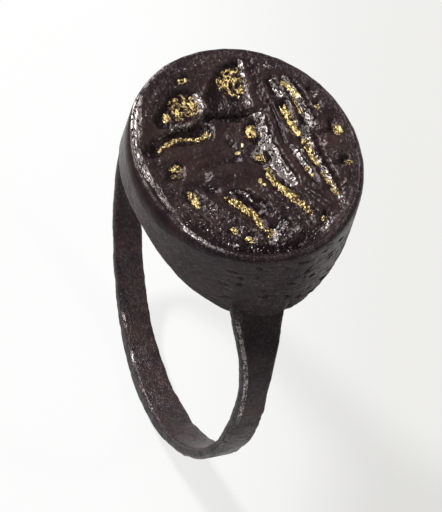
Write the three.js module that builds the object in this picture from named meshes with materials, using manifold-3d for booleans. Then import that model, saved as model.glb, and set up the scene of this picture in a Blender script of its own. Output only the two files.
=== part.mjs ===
// A finger ring: a forged strap hoop carrying a tall oval drum bezel.
// The drum is a wall closed below by a curved plate, filled, and topped by a
// seal plate whose sunk design still holds patches of its gilding.
// Millimetres, +Z up. The finger goes through along Y. The origin is under the
// middle of the hoop, at its lowest level.

import * as THREE from 'three';
import { mergeVertices } from 'three/addons/utils/BufferGeometryUtils.js';
import Module from 'manifold-3d';

const wasm = await Module();
wasm.setup();

// Finger hole, and the hoop's set along Y: its offset at the drum, its lean on the way
// down, and its slant from one shoulder to the other
const fingerHoleRadius = 10.0;
const hoopShiftY = - 0.15;
const hoopLeanShare = 0.094;
const hoopSlantShare = - 0.03;
const hoopEdgeRound = 0.18;
const hoopEndTurnShare = 0.81;

// Hoop width and thickness, from its lowest point up to the drum
const hoopStationTurnShares = [ 0, 0.25, 0.5, 0.62, 0.735, 0.81 ];
const hoopBottomWidth = 1.70;
const hoopLowerWidth = 1.69;
const hoopSideWidth = 1.67;
const hoopUpperWidth = 1.68;
const hoopShoulderWidth = 2.93;
const hoopEndWidth = 3.60;
const hoopBottomThick = 1.14;
const hoopLowerThick = 0.72;
const hoopSideThick = 0.82;
const hoopUpperThick = 0.73;
const hoopShoulderThick = 0.65;
const hoopEndThick = 0.78;

// Drum bezel
const bezelLengthX = 14.25;
const bezelLengthY = 13.05;
const bezelShiftX = 0.50;
const wallAboveCrown = 2.18;
const collarThick = 0.60;
const rimRound = 0.34;

// Inside the drum
const basePlateThick = 0.45;
const fitGap = 0.10;
const fieldRecess = 0.34;
const sealPlateThick = 0.85;
const beddingThick = 0.15;

// Solder at the shoulders
const jointGap = 0.12;
const solderLeg = 0.80;
const solderWidth = 2.50;

// Depths of the sunk design, and the gilding left in it
const deepCutDepth = 0.50;
const middleCutDepth = 0.38;
const shallowCutDepth = 0.28;
const pitCutDepth = 0.22;
const gildingThick = 0.10;

// Fineness of the curved faces
const ovalSteps = 72;
const hoopSteps = 84;
const roundSteps = 4;
const boreSteps = 144;
const outlineStepsPerPoint = 2;
const overrun = 2.0;
const weldDistance = 0.00001;

// Sizes that follow
const boreHeight = fingerHoleRadius + hoopBottomThick;
const crownHeight = boreHeight + fingerHoleRadius;
const rimHeight = crownHeight + wallAboveCrown;
const bezelHalfX = bezelLengthX / 2;
const bezelHalfY = bezelLengthY / 2;
const drumInset = collarThick + fitGap;
const sealHalfX = bezelHalfX - drumInset;
const sealHalfY = bezelHalfY - drumInset;
const fieldHeight = rimHeight - fieldRecess;
const sealBottom = fieldHeight - sealPlateThick;
const beddingBottom = sealBottom - beddingThick;

// The sunk design: outlines as shares [ along Y, along X ] of the seal plate's half lengths
const cutOutlineShares = {
	round_hollow: [
		[ - 0.56, - 0.67 ], [ - 0.48, - 0.75 ], [ - 0.36, - 0.76 ], [ - 0.26, - 0.71 ], [ - 0.23, - 0.61 ],
		[ - 0.26, - 0.51 ], [ - 0.34, - 0.44 ], [ - 0.45, - 0.42 ], [ - 0.58, - 0.40 ], [ - 0.68, - 0.41 ],
		[ - 0.73, - 0.48 ], [ - 0.67, - 0.57 ]
	],
	wave_groove: [
		[ - 0.22, - 0.38 ], [ - 0.23, - 0.24 ], [ - 0.33, - 0.17 ], [ - 0.42, - 0.15 ], [ - 0.52, - 0.17 ],
		[ - 0.61, - 0.18 ], [ - 0.72, - 0.15 ], [ - 0.79, - 0.10 ], [ - 0.90, - 0.11 ], [ - 0.92, - 0.17 ],
		[ - 0.86, - 0.24 ], [ - 0.74, - 0.30 ], [ - 0.63, - 0.35 ], [ - 0.52, - 0.38 ], [ - 0.37, - 0.39 ]
	],
	triangle_hollow: [
		[ 0.26, - 0.93 ], [ 0.25, - 0.72 ], [ 0.23, - 0.48 ], [ 0.18, - 0.37 ], [ 0.03, - 0.35 ],
		[ - 0.08, - 0.39 ], [ - 0.16, - 0.50 ], [ - 0.18, - 0.64 ], [ - 0.10, - 0.75 ], [ - 0.04, - 0.84 ],
		[ 0.11, - 0.92 ]
	],
	left_stroke_top: [ [ 0.45, - 0.71 ], [ 0.52, - 0.72 ], [ 0.55, - 0.52 ], [ 0.48, - 0.51 ] ],
	left_stroke: [ [ 0.48, - 0.47 ], [ 0.57, - 0.48 ], [ 0.60, - 0.26 ], [ 0.58, - 0.11 ], [ 0.52, - 0.15 ] ],
	right_stroke: [
		[ 0.59, - 0.67 ], [ 0.69, - 0.67 ], [ 0.75, - 0.54 ], [ 0.79, - 0.24 ], [ 0.74, - 0.10 ],
		[ 0.74, 0.16 ], [ 0.77, 0.40 ], [ 0.76, 0.56 ], [ 0.71, 0.62 ], [ 0.67, 0.48 ],
		[ 0.63, 0.29 ], [ 0.58, 0.11 ], [ 0.55, - 0.05 ], [ 0.63, - 0.16 ], [ 0.62, - 0.40 ],
		[ 0.59, - 0.56 ]
	],
	short_stroke: [
		[ 0.45, - 0.02 ], [ 0.50, - 0.02 ], [ 0.54, 0.12 ], [ 0.59, 0.26 ], [ 0.57, 0.40 ],
		[ 0.51, 0.33 ], [ 0.48, 0.18 ]
	],
	body_hollow: [
		[ 0.06, - 0.25 ], [ 0.18, - 0.36 ], [ 0.32, - 0.39 ], [ 0.35, - 0.27 ], [ 0.33, - 0.18 ],
		[ 0.35, 0.02 ], [ 0.42, 0.29 ], [ 0.39, 0.38 ], [ 0.31, 0.35 ], [ 0.25, 0.25 ],
		[ 0.21, 0.13 ], [ 0.10, 0.11 ], [ 0.05, 0.03 ], [ 0.14, - 0.06 ], [ 0.08, - 0.14 ]
	],
	right_slant: [
		[ 0.11, 0.17 ], [ 0.19, 0.13 ], [ 0.24, 0.29 ], [ 0.32, 0.40 ], [ 0.42, 0.55 ],
		[ 0.48, 0.67 ], [ 0.42, 0.73 ], [ 0.32, 0.60 ], [ 0.22, 0.46 ], [ 0.14, 0.35 ]
	],
	left_slant: [
		[ - 0.35, 0.38 ], [ - 0.24, 0.31 ], [ - 0.10, 0.35 ], [ - 0.02, 0.45 ], [ 0.05, 0.49 ],
		[ 0.04, 0.60 ], [ - 0.01, 0.65 ], [ - 0.03, 0.74 ], [ - 0.09, 0.78 ], [ - 0.18, 0.64 ],
		[ - 0.28, 0.50 ]
	],
	lower_hollow: [
		[ - 0.05, 0.92 ], [ - 0.10, 0.85 ], [ - 0.08, 0.75 ], [ 0.00, 0.71 ], [ 0.08, 0.69 ],
		[ 0.17, 0.67 ], [ 0.19, 0.74 ], [ 0.14, 0.83 ], [ 0.06, 0.90 ]
	],
	eye_pit: [
		[ - 0.76, - 0.02 ], [ - 0.66, - 0.05 ], [ - 0.61, 0.02 ], [ - 0.64, 0.10 ], [ - 0.71, 0.14 ],
		[ - 0.80, 0.12 ], [ - 0.80, 0.04 ]
	],
	crescent_pit: [
		[ - 0.68, 0.24 ], [ - 0.60, 0.23 ], [ - 0.57, 0.31 ], [ - 0.55, 0.41 ], [ - 0.60, 0.46 ],
		[ - 0.68, 0.39 ], [ - 0.71, 0.31 ]
	],
	left_pit: [ [ - 0.42, 0.67 ], [ - 0.34, 0.65 ], [ - 0.30, 0.71 ], [ - 0.35, 0.78 ], [ - 0.42, 0.75 ] ],
	low_pit: [ [ - 0.32, 0.79 ], [ - 0.24, 0.76 ], [ - 0.19, 0.83 ], [ - 0.25, 0.90 ], [ - 0.32, 0.86 ] ],
	foot_pit: [ [ 0.44, 0.75 ], [ 0.55, 0.69 ], [ 0.58, 0.74 ], [ 0.48, 0.80 ] ],
	right_pit: [ [ 0.81, - 0.40 ], [ 0.88, - 0.40 ], [ 0.89, - 0.34 ], [ 0.85, - 0.30 ], [ 0.80, - 0.35 ] ],
	rim_pit: [ [ 0.89, - 0.20 ], [ 0.94, - 0.18 ], [ 0.95, - 0.08 ], [ 0.89, - 0.03 ], [ 0.86, - 0.10 ] ],
	rim_pit_low: [ [ 0.88, 0.17 ], [ 0.94, 0.18 ], [ 0.93, 0.26 ], [ 0.86, 0.27 ] ],
	top_pit: [ [ - 0.39, - 0.87 ], [ - 0.31, - 0.90 ], [ - 0.25, - 0.85 ], [ - 0.33, - 0.80 ], [ - 0.40, - 0.82 ] ]
};

const cutDepths = {
	round_hollow: deepCutDepth,
	wave_groove: deepCutDepth,
	triangle_hollow: deepCutDepth,
	left_stroke_top: shallowCutDepth,
	left_stroke: middleCutDepth,
	right_stroke: middleCutDepth,
	short_stroke: shallowCutDepth,
	body_hollow: middleCutDepth,
	right_slant: middleCutDepth,
	left_slant: middleCutDepth,
	lower_hollow: middleCutDepth,
	eye_pit: shallowCutDepth,
	crescent_pit: shallowCutDepth,
	left_pit: pitCutDepth,
	low_pit: pitCutDepth,
	foot_pit: pitCutDepth,
	right_pit: pitCutDepth,
	rim_pit: pitCutDepth,
	rim_pit_low: pitCutDepth,
	top_pit: pitCutDepth
};

// What is left of the gilding: the cut that each patch lies in, and its outline in the same shares
const gildingSeats = {
	gilding_round_hollow: 'round_hollow',
	gilding_round_hollow_edge: 'round_hollow',
	gilding_wave: 'wave_groove',
	gilding_triangle: 'triangle_hollow',
	gilding_left_stroke: 'left_stroke',
	gilding_right_stroke_top: 'right_stroke',
	gilding_right_stroke_middle: 'right_stroke',
	gilding_right_stroke_foot: 'right_stroke',
	gilding_short_stroke: 'short_stroke',
	gilding_body_shoulder: 'body_hollow',
	gilding_body_waist: 'body_hollow',
	gilding_right_slant: 'right_slant',
	gilding_left_slant: 'left_slant',
	gilding_lower_hollow: 'lower_hollow',
	gilding_eye: 'eye_pit',
	gilding_eye_corner: 'eye_pit',
	gilding_crescent: 'crescent_pit',
	gilding_left_pit: 'left_pit',
	gilding_low_pit: 'low_pit',
	gilding_foot_pit: 'foot_pit',
	gilding_right_pit: 'right_pit',
	gilding_rim_pit: 'rim_pit',
	gilding_rim_pit_low: 'rim_pit_low',
	gilding_top_pit: 'top_pit'
};

const gildingOutlineShares = {
	gilding_round_hollow: [
		[ - 0.54, - 0.64 ], [ - 0.46, - 0.71 ], [ - 0.35, - 0.71 ], [ - 0.28, - 0.66 ], [ - 0.26, - 0.60 ],
		[ - 0.30, - 0.51 ], [ - 0.39, - 0.47 ], [ - 0.50, - 0.46 ], [ - 0.54, - 0.55 ]
	],
	gilding_round_hollow_edge: [
		[ - 0.68, - 0.50 ], [ - 0.61, - 0.54 ], [ - 0.57, - 0.49 ], [ - 0.60, - 0.43 ], [ - 0.67, - 0.44 ]
	],
	gilding_wave: [
		[ - 0.80, - 0.14 ], [ - 0.72, - 0.20 ], [ - 0.61, - 0.23 ], [ - 0.52, - 0.22 ], [ - 0.42, - 0.20 ],
		[ - 0.34, - 0.22 ], [ - 0.27, - 0.27 ], [ - 0.26, - 0.25 ], [ - 0.34, - 0.19 ], [ - 0.42, - 0.17 ],
		[ - 0.52, - 0.19 ], [ - 0.61, - 0.20 ], [ - 0.72, - 0.17 ]
	],
	gilding_triangle: [
		[ 0.00, - 0.82 ], [ 0.12, - 0.89 ], [ 0.23, - 0.89 ], [ 0.22, - 0.72 ], [ 0.19, - 0.57 ],
		[ 0.11, - 0.60 ], [ 0.03, - 0.66 ], [ - 0.02, - 0.74 ]
	],
	gilding_left_stroke: [
		[ 0.50, - 0.45 ], [ 0.55, - 0.45 ], [ 0.57, - 0.34 ], [ 0.57, - 0.20 ], [ 0.54, - 0.18 ]
	],
	gilding_right_stroke_top: [
		[ 0.63, - 0.54 ], [ 0.68, - 0.55 ], [ 0.71, - 0.42 ], [ 0.72, - 0.30 ], [ 0.68, - 0.30 ], [ 0.65, - 0.42 ]
	],
	gilding_right_stroke_middle: [
		[ 0.59, - 0.05 ], [ 0.64, - 0.08 ], [ 0.66, 0.08 ], [ 0.68, 0.22 ], [ 0.64, 0.23 ], [ 0.61, 0.10 ]
	],
	gilding_right_stroke_foot: [
		[ 0.66, 0.32 ], [ 0.70, 0.31 ], [ 0.73, 0.42 ], [ 0.74, 0.52 ], [ 0.71, 0.53 ], [ 0.68, 0.42 ]
	],
	gilding_short_stroke: [ [ 0.52, 0.22 ], [ 0.55, 0.21 ], [ 0.57, 0.28 ], [ 0.55, 0.33 ], [ 0.52, 0.29 ] ],
	gilding_body_shoulder: [
		[ 0.09, - 0.24 ], [ 0.15, - 0.30 ], [ 0.20, - 0.25 ], [ 0.17, - 0.16 ], [ 0.10, - 0.17 ]
	],
	gilding_body_waist: [
		[ 0.08, 0.03 ], [ 0.13, 0.00 ], [ 0.17, 0.04 ], [ 0.16, 0.09 ], [ 0.11, 0.08 ]
	],
	gilding_right_slant: [
		[ 0.13, 0.19 ], [ 0.18, 0.17 ], [ 0.22, 0.30 ], [ 0.30, 0.42 ], [ 0.39, 0.55 ],
		[ 0.45, 0.67 ], [ 0.42, 0.69 ], [ 0.34, 0.59 ], [ 0.24, 0.45 ], [ 0.17, 0.34 ]
	],
	gilding_left_slant: [
		[ - 0.32, 0.38 ], [ - 0.26, 0.38 ], [ - 0.18, 0.47 ], [ - 0.10, 0.56 ], [ - 0.06, 0.67 ],
		[ - 0.09, 0.74 ], [ - 0.16, 0.62 ], [ - 0.25, 0.50 ]
	],
	gilding_lower_hollow: [
		[ - 0.06, 0.78 ], [ - 0.01, 0.75 ], [ 0.02, 0.78 ], [ 0.00, 0.82 ], [ - 0.05, 0.83 ]
	],
	gilding_eye: [
		[ - 0.75, 0.01 ], [ - 0.67, - 0.02 ], [ - 0.64, 0.02 ], [ - 0.66, 0.06 ], [ - 0.73, 0.06 ]
	],
	gilding_eye_corner: [ [ - 0.77, 0.09 ], [ - 0.71, 0.08 ], [ - 0.69, 0.10 ], [ - 0.76, 0.11 ] ],
	gilding_crescent: [
		[ - 0.66, 0.27 ], [ - 0.62, 0.26 ], [ - 0.60, 0.32 ], [ - 0.58, 0.40 ], [ - 0.60, 0.43 ],
		[ - 0.65, 0.37 ], [ - 0.68, 0.31 ]
	],
	gilding_left_pit: [
		[ - 0.39, 0.69 ], [ - 0.35, 0.68 ], [ - 0.33, 0.71 ], [ - 0.36, 0.75 ], [ - 0.39, 0.73 ]
	],
	gilding_low_pit: [
		[ - 0.29, 0.81 ], [ - 0.25, 0.79 ], [ - 0.22, 0.83 ], [ - 0.25, 0.87 ], [ - 0.29, 0.84 ]
	],
	gilding_foot_pit: [ [ 0.48, 0.75 ], [ 0.54, 0.72 ], [ 0.55, 0.74 ], [ 0.49, 0.77 ] ],
	gilding_right_pit: [
		[ 0.83, - 0.38 ], [ 0.86, - 0.38 ], [ 0.87, - 0.35 ], [ 0.85, - 0.33 ], [ 0.82, - 0.35 ]
	],
	gilding_rim_pit: [
		[ 0.90, - 0.17 ], [ 0.92, - 0.16 ], [ 0.93, - 0.10 ], [ 0.90, - 0.06 ], [ 0.88, - 0.10 ]
	],
	gilding_rim_pit_low: [ [ 0.89, 0.20 ], [ 0.92, 0.20 ], [ 0.91, 0.24 ], [ 0.88, 0.25 ] ],
	gilding_top_pit: [
		[ - 0.37, - 0.85 ], [ - 0.32, - 0.87 ], [ - 0.28, - 0.85 ], [ - 0.33, - 0.82 ], [ - 0.37, - 0.83 ]
	]
};

// Finishes
const patina = new THREE.MeshStandardMaterial( { color: 0x2b2422, roughness: 0.5, metalness: 0.75 } );
const gilding = new THREE.MeshStandardMaterial( { color: 0xd9a83c, roughness: 0.35, metalness: 1.0 } );
const solder = new THREE.MeshStandardMaterial( { color: 0x3a3634, roughness: 0.55, metalness: 0.7 } );
const filling = new THREE.MeshStandardMaterial( { color: 0x5a4632, roughness: 0.9, metalness: 0.0 } );
const bedding = new THREE.MeshStandardMaterial( { color: 0x8a8378, roughness: 0.85, metalness: 0.0 } );

// One loop of points on the drum's oval, drawn in from its wall and at one height
function ovalLoop( inset, height ) {

	const loop = [];
	for ( let i = 0; i < ovalSteps; i ++ ) {

		const turn = 2 * Math.PI * i / ovalSteps;
		loop.push( new THREE.Vector3(
			bezelShiftX + ( bezelHalfX - inset ) * Math.cos( turn ),
			( bezelHalfY - inset ) * Math.sin( turn ),
			height
		) );

	}

	return loop;

}

// A closed body through loops of equal count: a band that bites its tail, or one with flat ends
function bodyThrough( loops, joinsUp ) {

	const count = loops[ 0 ].length;
	const faces = [];
	const bands = joinsUp ? loops.length : loops.length - 1;
	for ( let band = 0; band < bands; band ++ ) {

		const near = band * count;
		const far = ( ( band + 1 ) % loops.length ) * count;
		for ( let i = 0; i < count; i ++ ) {

			const next = ( i + 1 ) % count;
			faces.push( near + i, near + next, far + next );
			faces.push( near + i, far + next, far + i );

		}

	}

	if ( ! joinsUp ) {

		const last = ( loops.length - 1 ) * count;
		for ( let i = 1; i < count - 1; i ++ ) {

			faces.push( 0, i + 1, i );
			faces.push( last, last + i, last + i + 1 );

		}

	}

	const geometry = new THREE.BufferGeometry().setFromPoints( loops.flat() );
	geometry.setIndex( faces );
	return geometry;

}

// A geometry as a solid for cutting, and back again
function solidOf( geometry ) {

	const bare = geometry.clone();
	bare.deleteAttribute( 'normal' );
	bare.deleteAttribute( 'uv' );
	const welded = mergeVertices( bare, weldDistance );
	return new wasm.Manifold( new wasm.Mesh( {
		numProp: 3,
		vertProperties: welded.getAttribute( 'position' ).array,
		triVerts: Uint32Array.from( welded.index.array )
	} ) );

}

function geometryOf( solid ) {

	const mesh = solid.getMesh();
	const geometry = new THREE.BufferGeometry();
	geometry.setAttribute( 'position', new THREE.BufferAttribute( mesh.vertProperties, 3 ) );
	geometry.setIndex( new THREE.BufferAttribute( mesh.triVerts, 1 ) );
	return geometry;

}

// The finger's bore, or a wider one round the same axis
function boreSolid( radius ) {

	const bore = new THREE.CylinderGeometry( radius, radius, bezelLengthY + overrun, boreSteps );
	bore.translate( 0, 0, boreHeight );
	return solidOf( bore );

}

// A plug with the drum's oval outline, between two heights
function drumPlug( inset, bottom, top ) {

	return bodyThrough( [ ovalLoop( inset, bottom ), ovalLoop( inset, top ) ], false );

}

// Hoop: width and thickness at any turn away from its lowest point
const hoopSizeLine = new THREE.CubicInterpolant(
	Float32Array.from( hoopStationTurnShares ),
	Float32Array.from( [
		hoopBottomWidth, hoopBottomThick,
		hoopLowerWidth, hoopLowerThick,
		hoopSideWidth, hoopSideThick,
		hoopUpperWidth, hoopUpperThick,
		hoopShoulderWidth, hoopShoulderThick,
		hoopEndWidth, hoopEndThick
	] ),
	2
);

function hoopSizesAt( turnShare ) {

	const [ width, thick ] = hoopSizeLine.evaluate( Math.abs( turnShare ) );
	return { width, thick };

}

// Where the hoop's middle line lies along Y
function setAlongY( x, height ) {

	return hoopShiftY + hoopLeanShare * ( height - crownHeight ) + hoopSlantShare * x;

}

// The hoop's section with rounded edges, after a share of a half turn up from the bottom
function hoopLoop( turnShare ) {

	const { width, thick } = hoopSizesAt( turnShare );
	const side = width / 2;
	const corner = side - hoopEdgeRound;
	const shell = thick - hoopEdgeRound;
	const section = [
		[ 0, corner ], [ 0, - corner ], [ hoopEdgeRound, - side ], [ shell, - side ],
		[ thick, - corner ], [ thick, corner ], [ shell, side ], [ hoopEdgeRound, side ]
	];
	const turn = Math.PI * turnShare;
	return section.map( ( [ out, along ] ) => {

		const reach = fingerHoleRadius + out;
		const x = reach * Math.sin( turn );
		const height = boreHeight - reach * Math.cos( turn );
		return new THREE.Vector3( x, along + setAlongY( x, height ), height );

	} );

}

// The hoop: an open strap whose two ends are cut upright to stand against the drum's wall
function hoopGeometry() {

	const loops = [];
	for ( let i = 0; i <= hoopSteps; i ++ ) {

		loops.push( hoopLoop( hoopEndTurnShare * ( 2 * i / hoopSteps - 1 ) ) );

	}

	const reach = fingerHoleRadius + overrun;
	const drumSpace = new THREE.BoxGeometry( bezelLengthX + 2 * jointGap, bezelLengthY + overrun, reach );
	drumSpace.translate( bezelShiftX, 0, boreHeight + reach / 2 );
	return geometryOf( solidOf( bodyThrough( loops, false ) ).subtract( solidOf( drumSpace ) ) );

}

// Collar: the drum's wall, rounded at its outer top edge and cut below by the finger's bore
function collarGeometry() {

	const loops = [ ovalLoop( 0, boreHeight ) ];
	for ( let i = 0; i <= roundSteps; i ++ ) {

		const turn = Math.PI / 2 * i / roundSteps;
		const inset = rimRound * ( 1 - Math.cos( turn ) );
		const drop = rimRound * ( 1 - Math.sin( turn ) );
		loops.push( ovalLoop( inset, rimHeight - drop ) );

	}

	loops.push( ovalLoop( collarThick, rimHeight ) );
	loops.push( ovalLoop( collarThick, boreHeight ) );
	return geometryOf( solidOf( bodyThrough( loops, true ) ).subtract( boreSolid( fingerHoleRadius ) ) );

}

// Base plate: a curved sheet that closes the drum along the finger's bore
function basePlateGeometry() {

	const plug = solidOf( drumPlug( drumInset, boreHeight, rimHeight ) );
	const sheet = plug.intersect( boreSolid( fingerHoleRadius + basePlateThick ) );
	return geometryOf( sheet.subtract( boreSolid( fingerHoleRadius ) ) );

}

// Core: the filling between the base plate and the seal plate's bedding
function coreGeometry() {

	const plug = solidOf( drumPlug( drumInset, boreHeight, beddingBottom ) );
	return geometryOf( plug.subtract( boreSolid( fingerHoleRadius + basePlateThick + fitGap ) ) );

}

// Solder in the corner between a hoop end and the wall; side is 1 towards +X, -1 towards -X
function shoulderSolderGeometry( side ) {

	const wall = bezelHalfX + side * bezelShiftX + jointGap;
	const reach = fingerHoleRadius + hoopEndThick + jointGap;
	const start = Math.acos( wall / reach );
	const stop = start - solderLeg / reach;
	const cornerHeight = reach * Math.sin( start );
	const hollow = solderLeg / 4;
	const outline = new THREE.Shape();
	outline.absarc( 0, 0, reach, start, stop, true );
	outline.quadraticCurveTo( wall + hollow, cornerHeight + hollow, wall, cornerHeight + solderLeg );
	outline.closePath();
	const run = new THREE.ExtrudeGeometry( outline, {
		depth: solderWidth,
		bevelEnabled: false,
		curveSegments: roundSteps
	} );
	run.translate( 0, 0, - solderWidth / 2 );
	run.rotateX( Math.PI / 2 );
	if ( side < 0 ) run.rotateZ( Math.PI );
	run.translate( 0, setAlongY( side * wall, boreHeight + cornerHeight ), boreHeight );
	return run;

}

// A smooth closed outline on the seal plate, given as shares of its half lengths
function sealOutline( shares ) {

	const corners = shares.map( ( [ y, x ] ) =>
		new THREE.Vector3( bezelShiftX + x * sealHalfX, y * sealHalfY, 0 ) );
	const line = new THREE.CatmullRomCurve3( corners, true, 'centripetal' );
	const points = line.getPoints( outlineStepsPerPoint * corners.length ).slice( 1 );
	return new THREE.Shape( points.map( ( point ) => new THREE.Vector2( point.x, point.y ) ) );

}

// An outline on the seal plate raised between two heights
function sealPrism( shares, bottom, top ) {

	const prism = new THREE.ExtrudeGeometry( sealOutline( shares ), { depth: top - bottom, bevelEnabled: false } );
	prism.translate( 0, 0, bottom );
	return prism;

}

// Seal plate: a flat oval plate with the whole design sunk into its face
function sealPlateGeometry() {

	let plate = solidOf( drumPlug( drumInset, sealBottom, fieldHeight ) );
	for ( const [ name, shares ] of Object.entries( cutOutlineShares ) ) {

		const floor = fieldHeight - cutDepths[ name ];
		plate = plate.subtract( solidOf( sealPrism( shares, floor, fieldHeight + overrun ) ) );

	}

	return geometryOf( plate );

}

// A gilding patch: a thin leaf flat on the floor of its cut
function gildingGeometry( name ) {

	const floor = fieldHeight - cutDepths[ gildingSeats[ name ] ];
	return sealPrism( gildingOutlineShares[ name ], floor, floor + gildingThick );

}

const ring = new THREE.Group();

function addPiece( name, geometry, finish ) {

	const piece = new THREE.Mesh( geometry, finish.clone() );
	piece.name = name;
	ring.add( piece );

}

addPiece( 'hoop', hoopGeometry(), patina );
addPiece( 'bezel_collar', collarGeometry(), patina );
addPiece( 'bezel_base_plate', basePlateGeometry(), patina );
addPiece( 'bezel_core', coreGeometry(), filling );
addPiece( 'seal_bedding', drumPlug( drumInset, beddingBottom, sealBottom ), bedding );
addPiece( 'seal_plate', sealPlateGeometry(), patina );
addPiece( 'shoulder_solder_right', shoulderSolderGeometry( 1 ), solder );
addPiece( 'shoulder_solder_left', shoulderSolderGeometry( - 1 ), solder );

for ( const name of Object.keys( gildingSeats ) ) {

	addPiece( name, gildingGeometry( name ), gilding );

}

export default ring;
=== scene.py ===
"""A finger ring: a dark copper-alloy hoop with a tall oval bezel, whose sunk seal keeps patches of gilding.

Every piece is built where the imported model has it. Sizes inside this file are in millimetres.
"""
import math

import bpy
import numpy as np
from mathutils import Matrix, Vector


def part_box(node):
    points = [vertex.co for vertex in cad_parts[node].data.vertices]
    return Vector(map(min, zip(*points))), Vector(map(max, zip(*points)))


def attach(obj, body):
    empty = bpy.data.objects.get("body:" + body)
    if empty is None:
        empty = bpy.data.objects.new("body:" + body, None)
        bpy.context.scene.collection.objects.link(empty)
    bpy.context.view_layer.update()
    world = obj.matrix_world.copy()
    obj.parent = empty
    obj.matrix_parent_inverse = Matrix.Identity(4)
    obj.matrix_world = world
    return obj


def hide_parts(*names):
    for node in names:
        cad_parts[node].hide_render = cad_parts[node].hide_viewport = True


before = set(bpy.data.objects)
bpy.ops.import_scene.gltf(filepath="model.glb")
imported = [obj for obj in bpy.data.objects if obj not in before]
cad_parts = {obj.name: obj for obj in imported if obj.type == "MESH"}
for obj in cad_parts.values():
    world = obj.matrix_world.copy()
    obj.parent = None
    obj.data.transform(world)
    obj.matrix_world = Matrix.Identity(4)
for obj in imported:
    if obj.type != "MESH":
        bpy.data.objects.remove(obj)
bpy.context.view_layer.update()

bl_info = {
    "name": "Gilded seal ring",
    "version": (1, 0, 0),
    "blender": (4, 5, 0),
    "location": "3D View > Sidebar > Ring",
    "description": "Builds a worn seal ring on its packed frame, with its floor, lamps and camera",
    "category": "Object",
}

MM = 0.001
SEED = 7

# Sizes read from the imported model
COLLAR_LOW, COLLAR_HIGH = (np.array(corner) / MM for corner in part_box("bezel_collar"))
SEAL_LOW, SEAL_HIGH = (np.array(corner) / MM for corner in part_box("seal_plate"))
BEZEL_MIDDLE = (COLLAR_LOW + COLLAR_HIGH) / 2
BEZEL_HALF = (COLLAR_HIGH - COLLAR_LOW) / 2
SEAL_HALF = (SEAL_HIGH - SEAL_LOW) / 2
RIM_HEIGHT = COLLAR_HIGH[2]
FIELD_HEIGHT = SEAL_HIGH[2]
SEAL_BOTTOM = SEAL_LOW[2]

# The hoop: sizes that the boxes don't give, along it in shares of a half turn up from its lowest point
FINGER_RADIUS = 10.0
BORE_HEIGHT = 11.14
CROWN_HEIGHT = 21.14
HOOP_SHIFT = -0.15
HOOP_LEAN = 0.094
HOOP_SLANT = -0.03
HOOP_TURN = 0.81
HOOP_STATIONS = (0, 0.25, 0.5, 0.62, 0.735, 0.81)
HOOP_WIDTHS = (1.78, 1.77, 1.84, 1.84, 3.02, 3.62)
HOOP_THICKS = (1.14, 0.72, 0.70, 0.72, 0.65, 0.78)
HOOP_PLACES = (-0.30, -0.10, 0.00, 0.12, 0.25, 0.35, 0.45, 0.55, 0.65, 0.74, 0.81)
HOOP_SWAYS = (0.00, -0.05, -0.04, 0.02, 0.04, 0.10, 0.14, 0.09, -0.03, -0.12, -0.15)
HOOP_SPREADS = (0.00, 0.00, 0.08, 0.22, 0.22, 0.08, 0.00, 0.00, 0.00, 0.05, 0.05)

# The hoop's four corners: side of the strap (0 inner, 1 outer), side along Y, and rounding
HOOP_CORNERS = ((0, -1, 0.20), (1, -1, 0.36), (1, 1, 0.22), (0, 1, 0.20))
INNER_LEFT, OUTER_LEFT, OUTER_RIGHT, INNER_RIGHT = range(4)

# Stretches of the hoop: where each starts, is full, fades and ends
NEAR_GLINT = (0.46, 0.55, 0.72, 0.77)
FAR_GLINT = (-0.16, -0.10, 0.09, 0.14)
LOW_PALE = (0.16, 0.30, 0.40, 0.55)
NEAR_SHADE = (0.56, 0.70)

# The drum and its rim
COLLAR_THICK = 0.60
WALL_STEP = 0.75
RIM_ROUND = 0.34
ROUND_SPARE = 0.06
ROUND_SLOPE = 1.3
ROUND_MIDDLE = 0.25
RIM_WEAR = 0.02
RIM_TILT = 0.08
LIP_SHARE = 0.985
LIP_FLAT = 0.10
LIP_RISE = 0.015
FLARE = 0.13
FOOT_STEP = 0.10
STREAK_DEEP = 0.045
PIT_DEEP = 0.10
BASE_THICK = 0.45
DRUM_INSET = 0.70

# Stretches of the drum in degrees from +X towards +Y: where each starts, is full, fades and ends
FLARED = (215, 235, 262, 285)
STEPPED = (290, 300, 318, 326)
EDGE_LIT = (225, 245, 292, 318)

# Streaked patches of the drum: middle in degrees, cosines where it starts and is full, and strength
STREAKED = ((30, 0.30, 0.90, 1.0), (112, 0.20, 0.80, 0.7))

# The rim's lower stretch, painted dark as painted shade, in degrees from +Y towards +X
LOW_SHADE = (45, 75, 125, 145)

# The fillet at each shoulder
JOINT_HALF = 1.72
JOINT_LEG = 0.95
JOINT_LEAST = 0.02
JOINT_SUNK = 0.11
JOINT_ROOT = 0.22
JOINT_DEEP = 0.30

# The seal and its gilding
EDGE_SPARE = 0.06
GROOVE_DEEP = 0.24
FOIL_MARGIN = 0.40
FOIL_DEEP = 0.08
FOIL_DENT = 0.12

# Points on the seal are given along Y and along X, in hundredths of its half lengths
PARTS = 100

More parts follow.
